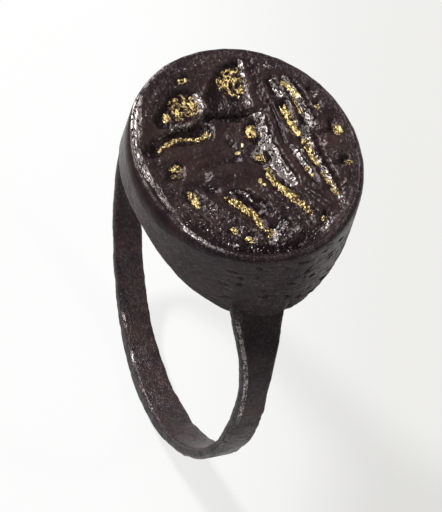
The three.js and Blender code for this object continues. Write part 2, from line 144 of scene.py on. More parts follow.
# The sunk design: depth and outline
CUTS = {
    "round_hollow": (0.30, [
        (-56, -67), (-48, -75), (-36, -76), (-26, -71), (-23, -61), (-26, -51), (-34, -44), (-45, -42),
        (-58, -40), (-68, -41), (-73, -48), (-67, -57)]),
    "wave_groove": (0.26, [
        (-22, -38), (-23, -24), (-33, -19), (-42, -18), (-52, -20), (-61, -21), (-72, -18), (-79, -13),
        (-90, -13), (-92, -17), (-86, -24), (-74, -30), (-63, -35), (-52, -38), (-37, -39)]),
    "triangle_hollow": (0.28, [
        (26, -93), (25, -72), (23, -48), (18, -37), (3, -35), (-8, -39), (-16, -50), (-18, -64),
        (-10, -75), (-4, -84), (11, -92)]),
    "left_stroke_top": (0.20, [(45, -71), (52, -72), (55, -52), (48, -51)]),
    "left_stroke": (0.28, [(48, -47), (57, -48), (60, -26), (58, -11), (52, -15)]),
    "right_stroke": (0.30, [
        (59, -67), (69, -67), (75, -54), (79, -24), (74, -10), (74, 16), (77, 40), (76, 56), (71, 62),
        (67, 48), (63, 29), (58, 11), (55, -5), (63, -16), (62, -40), (59, -56)]),
    "short_stroke": (0.20, [(45, -2), (50, -2), (54, 12), (59, 26), (57, 40), (51, 33), (48, 18)]),
    "body_hollow": (0.28, [
        (6, -25), (18, -36), (32, -39), (35, -27), (33, -18), (35, 2), (42, 29), (39, 38), (31, 35),
        (25, 25), (21, 13), (10, 11), (5, 3), (14, -6), (8, -14)]),
    "right_slant": (0.07, [
        (11, 17), (19, 13), (24, 29), (32, 40), (42, 55), (48, 67), (42, 73), (32, 60), (22, 46), (14, 35)]),
    "left_slant": (0.20, [
        (-35, 38), (-24, 31), (-10, 35), (-2, 45), (5, 49), (4, 60), (-1, 65), (-3, 74), (-9, 78),
        (-18, 64), (-28, 50)]),
    "lower_hollow": (0.22, [
        (-5, 92), (-10, 85), (-8, 75), (0, 71), (8, 69), (17, 67), (19, 74), (14, 83), (6, 90)]),
    "eye_pit": (0.20, [(-76, -2), (-66, -5), (-61, 2), (-64, 10), (-71, 14), (-80, 12), (-80, 4)]),
    "crescent_pit": (0.20, [
        (-68, 24), (-60, 23), (-57, 31), (-55, 41), (-60, 46), (-68, 39), (-71, 31)]),
    "left_pit": (0.16, [(-42, 67), (-34, 65), (-30, 71), (-35, 78), (-42, 75)]),
    "low_pit": (0.16, [(-32, 79), (-24, 76), (-19, 83), (-25, 90), (-32, 86)]),
    "foot_pit": (0.16, [(44, 75), (55, 69), (58, 74), (48, 80)]),
    "right_pit": (0.16, [(81, -40), (88, -40), (89, -34), (85, -30), (80, -35)]),
    "rim_pit": (0.16, [(89, -20), (94, -18), (95, -8), (89, -3), (86, -10)]),
    "rim_pit_low": (0.16, [(88, 17), (94, 18), (93, 26), (86, 27)]),
    "top_pit": (0.16, [(-39, -87), (-31, -90), (-25, -85), (-33, -80), (-40, -82)]),
}

# What is left of the gilding
GILDING = {
    "gilding_round_hollow": [
        (-54, -64), (-46, -71), (-35, -71), (-28, -66), (-26, -60), (-30, -51), (-39, -47), (-50, -46),
        (-54, -55)],
    "gilding_round_hollow_edge": [(-65, -53), (-60.5, -55.5), (-56, -51.5), (-58, -46.5), (-64, -47)],
    "gilding_wave": [
        (-80, -18.5), (-75, -23.5), (-68, -26.5), (-60, -28.5), (-52, -28.2), (-45, -26.3), (-38, -25.8),
        (-32, -28.2), (-26, -31.5), (-23.5, -29), (-27, -25.5), (-32, -23.5), (-38, -21.8), (-45, -22.6),
        (-52, -24), (-60, -24.5), (-68, -22.5), (-75, -19.5), (-80, -15.5)],
    "gilding_triangle": [
        (0, -82), (12, -89), (23, -89), (22, -72), (19, -57), (11, -60), (3, -66), (-2, -74)],
    "gilding_left_stroke": [(50, -45), (55, -45), (57, -34), (57, -20), (54, -18)],
    "gilding_right_stroke_top": [
        (63, -52), (65.5, -53), (68, -42), (70, -31), (67.5, -31), (65, -42)],
    "gilding_right_stroke_middle": [(58, -5), (63, -6), (65, 8), (67, 22), (64, 23), (60, 10)],
    "gilding_right_stroke_foot": [(64, 30), (68, 29), (71, 42), (73, 53), (70, 54), (67, 42)],
    "gilding_short_stroke": [(52, 22), (55, 21), (57, 28), (55, 33), (52, 29)],
    "gilding_body_shoulder": [(9, -24), (15, -30), (20, -25), (17, -16), (10, -17)],
    "gilding_body_waist": [(8, 3), (13, 0), (17, 4), (16, 9), (11, 8)],
    "gilding_right_slant": [
        (12, 17), (17, 15), (21, 30), (29, 41), (38, 54), (43, 67), (39, 69), (32, 59), (23, 46), (15, 34)],
    "gilding_left_slant": [
        (-34, 38), (-28, 38), (-19, 47), (-11, 56), (-7, 67), (-10, 74), (-17, 62), (-26, 50)],
    "gilding_lower_hollow": [(-8, 78), (-3, 74), (0, 77), (-2, 82), (-7, 83)],
    "gilding_eye": [(-76, 0), (-67, -3), (-64, 1), (-66, 5), (-73, 4)],
    "gilding_eye_corner": [(-77, 9), (-72, 6), (-70, 9), (-76, 11)],
    "gilding_crescent": [(-66, 25), (-62, 26), (-60, 32), (-58, 40), (-60, 43), (-66, 37), (-68, 31)],
    "gilding_left_pit": [(-39, 69), (-35, 68), (-33, 71), (-36, 75), (-39, 73)],
    "gilding_low_pit": [(-30, 81), (-25, 79), (-22, 83), (-25, 87), (-29, 84)],
    "gilding_foot_pit": [(47, 76), (52, 72), (55, 74), (49, 78)],
    "gilding_right_pit": [(83, -38), (86, -38), (87, -35), (85, -33), (82, -35)],
    "gilding_rim_pit": [(93, -13), (97, -14), (97, -7), (95, -3), (92, -7)],
    "gilding_rim_pit_low": [(92, 22), (96, 22), (96, 27), (92, 28)],
    "gilding_top_pit": [(-37, -85), (-32, -87), (-27, -85), (-32, -82), (-37, -83)],
}

# Raised and sunk forms on the field: height and half width in millimetres, and a line
FORMS = [
    (-0.22, 0.42, [(-92, -20), (-72, -31), (-52, -33), (-35, -35), (-20, -44)]),
    (-0.22, 0.40, [(-20, -44), (0, -42), (16, -41), (34, -43)]),
    (0.14, 0.70, [(-78, -10), (-55, -11), (-30, -10)]),
    (-0.11, 0.42, [(-44, 5), (-30, 4), (-10, 2)]),
    (0.16, 0.75, [(-34, 15), (-15, 17), (4, 20)]),
    (-0.08, 0.45, [(-62, 20), (-50, 22), (-42, 28)]),
    (0.14, 0.55, [(-50, 36), (-40, 48), (-27, 62)]),
    (0.12, 0.42, [(-6, 36), (6, 53), (20, 71), (27, 81)]),
    (0.16, 0.42, [(-24, 38), (-14, 48), (-7, 60), (-5, 72)]),
    (-0.05, 0.50, [(35, -92), (36, -70), (35, -50)]),
    (0.22, 0.60, [(20, 16), (24, 31), (32, 43), (41, 57), (47, 69)]),
    (0.06, 0.10, [(45, -46), (46, -34), (49, -15)]),
    (-0.10, 0.14, [(41, -50), (43, -30), (42, -5)]),
    (0.12, 0.20, [(60, -62), (61, -40), (60, -20)]),
    (0.12, 0.25, [(47, 45), (56, 58), (62, 66)]),
    (0.10, 0.40, [(80, 5), (88, 10)]),
    (0.10, 0.40, [(80, -24), (87, -27)]),
    (0.10, 0.35, [(76, 40), (84, 44)]),
    (-0.14, 0.22, [(77, -8), (87, -9)]),
    (-0.16, 0.22, [(81, 25), (92, 22)]),
    (-0.20, 0.24, [(82, -53), (88, -49), (94, -46)]),
    (-0.10, 0.25, [(-45, 27), (-40, 29)]),
    (0.08, 0.60, [(-80, 45), (-62, 60)]),
    (-0.08, 0.25, [(-50, 70), (-38, 82)]),
    (0.12, 0.50, [(-10, -72), (-14, -56)]),
    (-0.08, 0.30, [(-12, -16), (-8, -12)]),
]

# Bright marks on the seal, partly worn metal and partly painted glints and highlights: strength, half width
# in hundredths, and a line
WEAR_AND_GLINT_MARKS = [
    (1.0, 4.2, [(-25, -67), (-25, -58), (-28, -52)]),
    (0.7, 4.5, [(-58, -40), (-48, -38), (-41, -41)]),
    (0.7, 1.0, [(-84, -27), (-72, -32), (-60, -36), (-46, -42)]),
    (1.0, 2.5, [(28, -95), (26, -75), (23, -58), (21, -52)]),
    (0.5, 6.0, [(-4, -52), (6, -55), (14, -54)]),
    (0.9, 2.6, [(51, -68), (53, -60), (54.5, -54)]),
    (1.0, 2.2, [(58.5, -46), (59.2, -36), (59.5, -22)]),
    (0.8, 2.6, [(56, -16), (58, -11)]),
    (0.9, 3.5, [(65, -70), (69, -64)]),
    (0.74, 6.0, [(66.5, -60), (69.5, -45), (72.5, -30), (74.5, -20)]),
    (0.70, 5.8, [(66, -16), (63, -5), (65, 10)]),
    (0.74, 4.0, [(66, 12), (69, 30), (71.5, 45), (73.5, 60), (73, 66)]),
    (0.96, 6.0, [(27, -36), (25, -26), (25, -15)]),
    (0.96, 5.0, [(27, -14), (18, -6), (9, 2)]),
    (0.96, 5.0, [(26, -10), (27, 2), (27, 12)]),
    (0.96, 5.5, [(24, 12), (29, 24), (34, 34)]),
    (1.0, 1.0, [(31, -5), (33, 12), (38, 30)]),
    (0.5, 3.5, [(36, 42), (42, 50), (44, 60)]),
    (0.9, 1.8, [(-27, 34), (-20, 33), (-13, 37), (-10, 45)]),
    (0.8, 2.0, [(-1, 50), (0, 56), (-6, 58)]),
    (1.0, 4.2, [(-5, 88), (3, 80), (12, 72)]),
    (0.8, 1.2, [(-50, 80), (-44, 85), (-38, 86)]),
    (1.0, 3.0, [(46.5, -1), (49, 8), (52.5, 20), (55, 30)]),
    (1.0, 1.4, [(55, 4), (56, 5)]),
    (0.7, 3.0, [(45, 86), (52, 82), (58, 77)]),
    (0.9, 1.8, [(87, -47), (91, -49)]),
    (1.0, 1.2, [(95, -6), (95.5, -5)]),
    (0.9, 1.4, [(-44, 26), (-41, 28)]),
    (0.7, 1.4, [(50, -87), (53, -89), (55.5, -86), (53, -83), (50, -86)]),
    (0.7, 1.4, [(56, -86), (58.5, -88), (61, -85), (58.5, -82), (56, -85)]),
    (0.8, 1.2, [(30, -42), (34, -46)]),
    (0.7, 1.2, [(-18, 20), (-16, 18)]),
]

# Flecks of gilding too small to be pieces, some of them painted glints, given in the same way
GILT_MARKS = [
    (1.0, 1.6, [(-8, -3), (-5, -4)]),
    (1.0, 1.0, [(0, -9), (1, -11)]),
    (0.9, 1.2, [(4, 28), (5, 27)]),
    (0.8, 1.0, [(7, 32), (7.5, 33)]),
    (1.0, 1.8, [(98, -13), (99, -8)]),
    (1.0, 1.6, [(97, 25), (99, 25)]),
    (0.5, 3.0, [(60, -66), (65, -62), (69, -52)]),
    (0.5, 2.5, [(56, -20), (58, -12)]),
]

# Where the field is thick with specks: bright flecks, partly bare metal and partly painted glints, with pale
# dust and dark spots, given in the same way
SPECK_AREAS = [
    (0.75, 20, [(-64, 45), (-44, 62), (-24, 86), (0, 94)]),
    (0.4, 14, [(-82, -58), (-57, -80), (-20, -94), (5, -97)]),
    (0.4, 14, [(-88, -5), (-85, 15), (-74, 42)]),
    (0.25, 12, [(4, -33), (-5, -10), (-22, 0), (-36, 12)]),
    (0.8, 12, [(20, 76), (40, 86), (56, 80)]),
    (0.6, 14, [(0, 42), (16, 60), (28, 76)]),
    (0.4, 12, [(-16, -56), (5, -46)]),
    (0.3, 8, [(80, 40), (90, 22), (97, 5)]),
    (0.5, 8, [(-52, -30), (-34, -34), (-22, -42)]),
]

# The seal's edge: degrees from +Y towards +X, how far it rises to the rim, where it starts, and its groove
EDGE = (
    (-180, 0.8, 0.82, 0.2), (-125, 0.9, 0.82, 0.1), (-100, 1.0, 0.78, 0.0), (-60, 1.0, 0.62, 0.0),
    (0, 1.0, 0.48, 0.0), (45, 0.95, 0.55, 0.1), (60, 0.5, 0.75, 0.5), (78, 0.1, 0.86, 1.0),
    (108, 0.1, 0.86, 1.0), (125, 0.5, 0.82, 0.6), (145, 0.7, 0.82, 0.4), (160, 0.8, 0.82, 0.3),
    (180, 0.8, 0.82, 0.2),
)
EDGE_TURNS, EDGE_RISES, EDGE_STARTS, EDGE_GROOVES = np.transpose(EDGE)

# The bright band on the rim, partly worn metal and partly a painted highlight: degrees, its outer and inner
# edge as shares of the drum, and how bright it is
BAND = (
    (-183, 0.908, 0.843, 0.84), (-177, 0.919, 0.853, 0.80), (-172, 0.927, 0.869, 0.82),
    (-168, 0.934, 0.875, 0.66), (-163, 0.936, 0.88, 0.64), (-157, 0.947, 0.857, 0.90),
    (-150, 0.963, 0.879, 0.92), (-144, 0.979, 0.903, 0.88), (-138, 0.99, 0.929, 0.66),
    (-134, 0.99, 0.95, 0.50), (-129, 0.99, 0.955, 0.70), (-116, 0.99, 0.954, 0.68),
    (-100, 0.97, 0.93, 0.30), (0, 0.96, 0.92, 0.30), (60, 0.96, 0.92, 0.42),
    (90, 0.96, 0.92, 0.45), (110, 0.96, 0.93, 0.30), (120, 0.962, 0.932, 0.64),
    (128, 0.961, 0.919, 0.68), (135, 0.946, 0.906, 0.84), (143, 0.936, 0.90, 0.84),
    (147, 0.92, 0.87, 0.50), (152, 0.90, 0.84, 0.52), (157, 0.885, 0.83, 0.70),
    (169, 0.872, 0.812, 0.84), (177, 0.908, 0.843, 0.84), (183, 0.919, 0.853, 0.82),
)
BAND_TURNS, BAND_OUTERS, BAND_INNERS, BAND_SHARES = np.transpose(BAND)

# How far a mark read on the level of the field moves over for each millimetre that its ground lies lower
SINK_SHIFT = (0.592, -0.356)

# Fineness of the meshes
SEAL_STEPS = 360
DRUM_STEPS = 900
HOOP_STEPS = 900
FOIL_STEP = 0.03
WALL_ROWS = 64
ROUND_ROWS = 12
RIM_ROWS = 14
CORNER_ROWS = 8
FLAT_ROWS = 12
JOINT_ACROSS = 41
JOINT_DOWN = 21
BASE_TURNS = 240
BASE_RINGS = 60

# The floor and the camera: metres, but millimetres for its lens and sensor and shares for its shift
FLOOR_HALF = 1.2
TARGET = np.array([0, 0, 0.013])
CAMERA_LENS = 287.75
CAMERA_SENSOR = 36
CAMERA_SHIFT = (0.01384, -0.01498)
CAMERA_NEAREST = 0.01

# The lamps in metres, and the way to each along the picture's right, its up and towards the camera
LAMP_WIDTH = 0.045
KEY_TOWARD, KEY_AWAY = (-0.40, 0.82, 0.42), 0.26
FILL_TOWARD, FILL_AWAY = (0.80, 0.10, 0.60), 0.28

# Painted shade on the backdrop, standing for the ring's shadow: where it starts and ends turning into its
# shaded colour on the picture's right, in metres
BACKDROP_SHADE_FADE = (-0.004, 0.014)
BACKDROP_SHADE = (0.86, 0.855, 0.83)


def eased(value, low, high):
    """A smooth change from 0 at low to 1 at high."""
    share = np.clip((value - low) / (high - low), 0, 1)
    return share * share * (3 - 2 * share)


def between(value, start, full, fading, end):
    """1 from full to fading, and smoothly down to 0 at start and at end."""
    return eased(value, start, full) * (1 - eased(value, fading, end))


class Grain:
    """Smooth noise through space, the same on each run; points moved by a number meet other lumps."""

    def __init__(self, seed):
        draws = np.random.default_rng(seed)
        self.order = draws.permutation(256)
        slopes = draws.normal(size=(256, 3))
        self.slopes = slopes / np.linalg.norm(slopes, axis=1, keepdims=True)

    def at(self, points, size):
        """Noise from about -1 to 1, whose lumps are about that size."""
        places = np.asarray(points, float) / size
        cells = np.floor(places).astype(int)
        shares = places - cells
        ease = shares ** 3 * (shares * (shares * 6 - 15) + 10)
        total = np.zeros(places.shape[:-1])
        for corner in np.ndindex(2, 2, 2):
            index = np.zeros(places.shape[:-1], int)
            weight = np.ones(places.shape[:-1])
            for axis, step in enumerate(corner):
                index = self.order[(index + cells[..., axis] + step) & 255]
                weight = weight * (ease[..., axis] if step else 1 - ease[..., axis])
            total += weight * ((shares - corner) * self.slopes[index]).sum(-1)
        return total * 1.6

    def layers(self, points, size, count):
        """Several sizes of noise on each other, each half as large and half as strong."""
        total = 0
        for layer in range(count):
            shift = 17.3 * layer
            total = total + self.at(np.asarray(points) + shift, size / 2 ** layer) / 2 ** layer
        return total


grain = Grain(SEED)


def seal_line(points):
    """A line in hundredths as millimetres on the seal."""
    return np.array([
        (BEZEL_MIDDLE[0] + across / PARTS * SEAL_HALF[0], along / PARTS * SEAL_HALF[1])
        for along, across in points
    ])


def smooth_outline(points, steps=6):
    """A closed smooth line through corners in hundredths, in millimetres on the seal."""
    corners = seal_line(points)
    line = []
    for at in range(len(corners)):
        four = [corners[(at + k) % len(corners)] for k in (-1, 0, 1, 2)]
        gaps = [max(np.linalg.norm(four[k + 1] - four[k]) ** 0.5, 1e-6) for k in range(3)]
        knots = np.concatenate([[0], np.cumsum(gaps)])
        for step in range(steps):
            now = knots[1] + (knots[2] - knots[1]) * step / steps
            spots = four
            for reach in (1, 2):
                spots = [
                    spots[k] + (spots[k + 1] - spots[k]) * (now - knots[k]) / (knots[k + reach] - knots[k])
                    for k in range(len(spots) - 1)
                ]
            share = (now - knots[1]) / (knots[2] - knots[1])
            line.append(spots[0] + (spots[1] - spots[0]) * share)
    return np.array(line)


def line_distance(places, corners, closed=False):
    """How far each place lies from a line; inside a closed line it is negative."""
    starts = corners if closed else corners[:-1]
    stops = np.roll(corners, -1, axis=0) if closed else corners[1:]
    nearest = np.full(len(places), np.inf)
    inside = np.zeros(len(places), bool)
    for start, stop in zip(starts, stops):
        run = stop - start
        offset = places - start
        share = np.clip(offset @ run / max(run @ run, 1e-12), 0, 1)
        nearest = np.minimum(nearest, np.linalg.norm(offset - share[:, None] * run, axis=1))
        if closed:
            crosses = (start[1] > places[:, 1]) != (stop[1] > places[:, 1])
            rise = run[1] if abs(run[1]) > 1e-12 else 1e-12
            inside ^= crosses & (offset[:, 0] < offset[:, 1] * run[0] / rise)
    return np.where(inside, -nearest, nearest) if closed else nearest


def spread(places, corners, reach):
    """The places that lie within reach of the box round a line."""
    low = corners.min(0) - reach
    high = corners.max(0) + reach
    return np.flatnonzero(((places > low) & (places < high)).all(1))


CUT_LINES = {name: (depth, smooth_outline(points)) for name, (depth, points) in CUTS.items()}


def round_turn(places):
    """Share of the seal's half length, and degrees from +Y towards +X."""
    along = places[:, 1] / SEAL_HALF[1]
    across = (places[:, 0] - BEZEL_MIDDLE[0]) / SEAL_HALF[0]
    return np.hypot(along, across), np.degrees(np.arctan2(across, along))


def marked(seen, warp, marks, reach):
    """How strongly a set of marks shows at each place."""
    found = np.zeros(len(seen))
    for strength, half, points in marks:
        corners = seal_line(points)
        width = half / PARTS * SEAL_HALF[1]
        near = spread(seen, corners, width * 2 + 0.1)
        apart = line_distance(seen[near], corners) + reach * warp[near]
        found[near] = np.maximum(found[near], strength * (1 - eased(apart, width * 0.6, width * 1.3)))
    return found


def band_wear_and_highlight(share, turn):
    """How bright the band is at a share of the drum's half length and a turn round it: partly worn metal,
    partly a painted highlight.
    """
    outer = np.interp(turn, BAND_TURNS, BAND_OUTERS)
    inner = np.interp(turn, BAND_TURNS, BAND_INNERS)
    within = between(share, inner - 0.01, inner + 0.015, outer + 0.005, outer + 0.03)
    return within * np.interp(turn, BAND_TURNS, BAND_SHARES)


def seal_surface(places, looks):
    """Height of the seal over its field, the shares of its finishes, and where its marks are read."""
    solid = np.column_stack([places, np.zeros(len(places))])
    warp = 0.07 * grain.at(solid, 0.55) + 0.05 * grain.at(solid + 31, 0.2)
    height = 0.05 * grain.layers(solid + 50, 1.6, 2)
    deep = np.zeros(len(places))
    calm = np.zeros(len(places))
    # Sunk forms darken too: dark patina in the hollows, and painted shade
    for rise, half, points in FORMS:
        corners = seal_line(points)
        near = spread(places, corners, half * 1.6)
        apart = line_distance(places[near], corners) + warp[near]
        here = 1 - eased(apart, 0, half)
        height[near] += rise * looks.relief * here
        if rise > 0:
            calm[near] = np.maximum(calm[near], here)
        else:
            deep[near] = np.maximum(deep[near], 0.8 * here)
    # The cuts darken towards their floors: dark patina in the hollows, and painted shade
    cut = np.zeros(len(places))
    for depth, outline in CUT_LINES.values():
        near = spread(places, outline, 0.6)
        apart = line_distance(places[near], outline, True) + warp[near]
        cut[near] = np.maximum(cut[near], depth * looks.relief * eased(-apart, -0.14, 0.32))
        deep[near] = np.maximum(deep[near], eased(-apart, -0.15, 0.15))
    height -= cut

    # The slope up to the rim, and the groove beside it, painted dark with painted shade
    share, turn = round_turn(places)
    rise = np.interp(turn, EDGE_TURNS, EDGE_RISES)
    groove = np.interp(turn, EDGE_TURNS, EDGE_GROOVES)
    start = np.interp(turn, EDGE_TURNS, EDGE_STARTS)
    height += rise * (RIM_HEIGHT - FIELD_HEIGHT - EDGE_SPARE) * eased(share, start, 0.97)
    height -= groove * GROOVE_DEEP * eased(share, 0.86, 0.95)

    # Worn metal with fine cracks, painted glints, flecks of gilding, and specks
    seen = places - height[:, None] * SINK_SHIFT
    wear_and_glint = marked(seen, warp, WEAR_AND_GLINT_MARKS, 0.8)
    gilt = marked(seen, warp, GILT_MARKS, 1.4)
    branch = grain.at(solid * (0.6, 1, 1) + 60, 0.36) + 0.4 * grain.at(solid + 61, 0.17)
    crevice = (1 - eased(np.abs(branch), 0.03, 0.14)) * eased(wear_and_glint, 0.2, 0.6)
    dusty = 0.05 + marked(seen, warp * 3, SPECK_AREAS, 1.0)
    fleck = eased(grain.at(solid + 62, 0.10) + 0.25 * dusty, 0.62, 0.80)
    wear_and_glint = np.maximum(wear_and_glint * (1 - 0.3 * crevice), fleck * np.minimum(dusty * 2, 1))
    wear_and_glint = np.maximum(wear_and_glint, band_wear_and_highlight(share * SEAL_HALF[1] / BEZEL_HALF[1] + 0.1 * warp, turn))
    deep = np.maximum(deep * 0.7, 0.7 * crevice)
    # The groove by the rim is painted dark: painted shade
    deep = np.maximum(deep, 0.9 * groove * eased(share, 0.84, 0.94))
    deep = np.maximum(deep, 0.8 * np.minimum(dusty, 1) * eased(-grain.at(solid + 64, 0.22), 0.0, 0.4))
    rough = (0.32 + 0.58 * np.maximum(np.maximum(0.6 * wear_and_glint, 0.8 * deep), dusty)) * (1 - 0.25 * calm)
    height += rough * (0.055 * grain.layers(solid + 90, 0.28, 2) + 0.025 * grain.at(solid + 70, 0.12))
    height -= 0.06 * crevice
    pale = np.minimum(0.6 * dusty, 1) * (1 - 0.5 * calm)
    return height, {"wear_and_glint": wear_and_glint, "gilt": gilt, "deep": deep, "pale": pale}, seen


def grid_faces(rows, columns, wraps=False):
    """The quads of a grid of points, row by row; wraps joins each row's end to its start."""
    across = np.arange(columns if wraps else columns - 1)
    down = np.arange(rows - 1)[:, None] * columns
    here = down + across
    beside = down + (across + 1) % columns
    return np.stack([here, beside, beside + columns, here + columns], -1).reshape(-1, 4)


def grid_border(rows, columns):
    """The outermost points of a grid, in one loop."""
    order = np.arange(rows * columns).reshape(rows, columns)
    return np.concatenate([order[0, :-1], order[:-1, -1], order[-1, :0:-1], order[:0:-1, 0]])


def no_marks(count):
    """A patina's four shares, all 0."""
    return {key: np.zeros(count) for key in ("wear_and_glint", "gilt", "deep", "pale")}


def add_piece(name, points, faces, shares, finish, slot, *nodes):
    """A smooth mesh piece in the ring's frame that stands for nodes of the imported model."""
    mesh = bpy.data.meshes.new(name)
    mesh.from_pydata((np.asarray(points) * MM).tolist(), [], [list(map(int, face)) for face in faces])
    for key, values in shares.items():
        layer = mesh.attributes.new(key, "FLOAT", "POINT")
        layer.data.foreach_set("value", np.asarray(values, np.float32))
    mesh.shade_smooth()
    mesh.materials.append(finish)
    mesh.validate()
    piece = bpy.data.objects.new(name, mesh)
    bpy.context.scene.collection.objects.link(piece)
    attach(piece, "root")
    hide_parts(*nodes)
    return piece


class Amount:
    """A number on its way through a material's nodes, used in ordinary arithmetic."""

    def __init__(self, finish, socket):
        self.finish = finish
        self.socket = socket

    def _with(self, operation, *others):
        node = self.finish.node("ShaderNodeMath", {"operation": operation}, [self, *others])
        return Amount(self.finish, node.outputs[0])

    def __add__(self, other):
        return self._with("ADD", other)

    def __sub__(self, other):
        return self._with("SUBTRACT", other)

    def __mul__(self, other):
        return self._with("MULTIPLY", other)

    def __rsub__(self, other):
        return (self * -1) + other

    __radd__ = __add__
    __rmul__ = __mul__

    def above(self, low, high):
        """A smooth change from 0 at low to 1 at high."""
        sockets = {"Value": self, "From Min": low, "From Max": high}
        node = self.finish.node("ShaderNodeMapRange", {"interpolation_type": "SMOOTHSTEP"}, sockets)
        return Amount(self.finish, node.outputs[0])

    def most(self, other):
        """The larger of two numbers."""
        return self._with("MAXIMUM", other)


class Finish:
    """A material and its nodes."""

    def __init__(self, name):
        self.material = bpy.data.materials.new(name)
        self.material.use_nodes = True
        self.tree = self.material.node_tree
        self.tree.nodes.clear()
        self.places = self.node("ShaderNodeTexCoord").outputs["Object"]

    def node(self, kind, settings=None, sockets=None):
        """A node of a type, its settings, and the values or links of its sockets."""
        made = self.tree.nodes.new(kind)
        for key, value in (settings or {}).items():
            setattr(made, key, value)
        pairs = enumerate(sockets) if isinstance(sockets, list) else (sockets or {}).items()
        for key, value in pairs:
            value = getattr(value, "socket", value)
            if isinstance(value, bpy.types.NodeSocket):
                self.tree.links.new(value, made.inputs[key])
            else:
                made.inputs[key].default_value = value
        return made

    def share(self, name):
        """A mesh's own share, kept at its points."""
        return Amount(self, self.node("ShaderNodeAttribute", {"attribute_name": name}).outputs["Fac"])

    def noise(self, size, detail=3.0, rough=0.55):
        """Noise from 0 to 1 whose lumps are about size millimetres."""
        sockets = {"Vector": self.places, "Scale": 1 / (size * MM), "Detail": detail, "Roughness": rough}
        return Amount(self, self.node("ShaderNodeTexNoise", None, sockets).outputs["Fac"])

    def folds(self, size):
        """1 along thin winding lines about size millimetres apart, drawn out across the ring."""
        drawn_out = [self.places, (0.55, 1, 1)]
        scaled = self.node("ShaderNodeVectorMath", {"operation": "MULTIPLY"}, drawn_out).outputs[0]
        sockets = {"Vector": scaled, "Scale": 1 / (size * MM), "Detail": 1.0, "Distortion": 1.0}
        found = Amount(self, self.node("ShaderNodeTexNoise", None, sockets).outputs["Fac"]) - 0.5
        return 1 - found.most(found * -1).above(0.015, 0.085)

    def mix(self, share, first, second):
        """One colour turning into another."""
        first, second = (
            colour if isinstance(colour, bpy.types.NodeSocket) else (*colour[:3], 1)
            for colour in (first, second)
        )
        made = self.node("ShaderNodeMix", {"data_type": "RGBA"}, {0: share, 6: first, 7: second})
        return made.outputs[2]

    def bump(self, height, depth):
        """A normal from a height share, depth millimetres deep."""
        sockets = {"Height": height, "Distance": depth * MM, "Strength": 1.0}
        return self.node("ShaderNodeBump", None, sockets).outputs["Normal"]

    def close(self, sockets):
        """The surface shader and the material's output."""
        shader = self.node("ShaderNodeBsdfPrincipled", None, sockets)
        self.node("ShaderNodeOutputMaterial", None, {"Surface": shader.outputs[0]})
        return self.material


def patina_finish(name, looks, dark, brown, ground, gloss, sheen=0.25):
    """Nearly black patina with brown patches; bare metal and painted glints and highlights where the mesh
    marks them bright, dark patina and painted shade where it marks them deep.
    """
    made = Finish(name)
    wear_and_glint = made.share("wear_and_glint")
    gilt = made.share("gilt")
    deep = made.share("deep")
    pale = made.share("pale")
    broad = made.noise(1.6, 4)
    fine = made.noise(0.22, 4, 0.65)
    speck = made.noise(0.085, 2, 0.6)
    folds = made.folds(0.24)
    tone = (broad + fine * 0.6 - 0.3).above(0.35, 0.70)
    colour = made.mix(tone * brown, dark, looks.patina_brown)
    colour = made.mix(pale * (speck + fine * 0.5 + folds * 0.24).above(0.91, 1.05), colour, looks.patina_dust)
    # Dark patina in hollows, and painted shade in grooves, gaps and on shaded sides, as the mesh marks them
    colour = made.mix(deep * 0.85, colour, looks.deep_patina_and_shade)
    # Bare metal where worn, and painted glints and highlights, as the mesh marks them
    broken = (wear_and_glint * 1.75 + fine * 0.8 + speck * 0.8 - folds * wear_and_glint * 1.0 - 1.60).above(0.0, 0.6)
    colour = made.mix(broken, colour, looks.wear_and_glint_colour)
    glint = (gilt * 1.2 + speck - 0.6).above(0.2, 0.6)
    colour = made.mix(glint, colour, looks.gold_colour)
    bright = broken.most(glint)
    lively = 0.45 + wear_and_glint.most(deep).most(pale) * 0.35
    height = (fine * 0.5 + speck * 0.3 - folds * wear_and_glint * 0.5) * lively
    return made.close({
        "Base Color": colour,
        "Metallic": (sheen + bright * (0.90 - sheen)).most(deep * 0.85),
        "Roughness": 0.26 + fine * 0.12 + bright * 0.08,
        "Specular IOR Level": gloss,
        "Normal": made.bump(height, 0.16 * ground),
    })


def gold_finish(name, looks):
    """Worn gilding: bright ridges over duller brown hollows."""
    made = Finish(name)
    fine = made.noise(0.20, 4, 0.65)
    broad = made.noise(0.6, 3)
    speck = made.noise(0.08, 2, 0.6)
    folds = made.folds(0.26)
    bright = (fine * 2.4 + broad * 1.4 + speck * 1.2 - folds * 1.0 - 1.45).above(0.1, 0.9)
    colour = made.mix(bright, looks.gold_dull, looks.gold_colour)
    holes = (fine + speck * 0.8 + folds * 0.25).above(1.04, 1.16)
    colour = made.mix(holes * 0.9, colour, looks.patina_dark)
    return made.close({
        "Base Color": colour,
        "Metallic": 0.5 + bright * 0.5,
        "Roughness": 0.50 - bright * 0.12,
        "Normal": made.bump(fine * 0.6 + speck * 0.3 - folds * 0.5, 0.20),
    })


def matt_finish(name, light, dark):
    """A matt, grainy filling."""
    made = Finish(name)
    fine = made.noise(0.25, 4, 0.6)
    broad = made.noise(1.4, 3)
    colour = made.mix((broad + fine * 0.4 - 0.2).above(0.3, 0.7), dark, light)
    return made.close({
        "Base Color": colour,
        "Roughness": 0.85 + fine * 0.1,
        "Normal": made.bump(fine, 0.03),
    })


def colour_prop(name, description, default):
    """A colour that a user can change."""
    return bpy.props.FloatVectorProperty(
        name=name, description=description, default=default, size=3, min=0, max=1, subtype="COLOR")


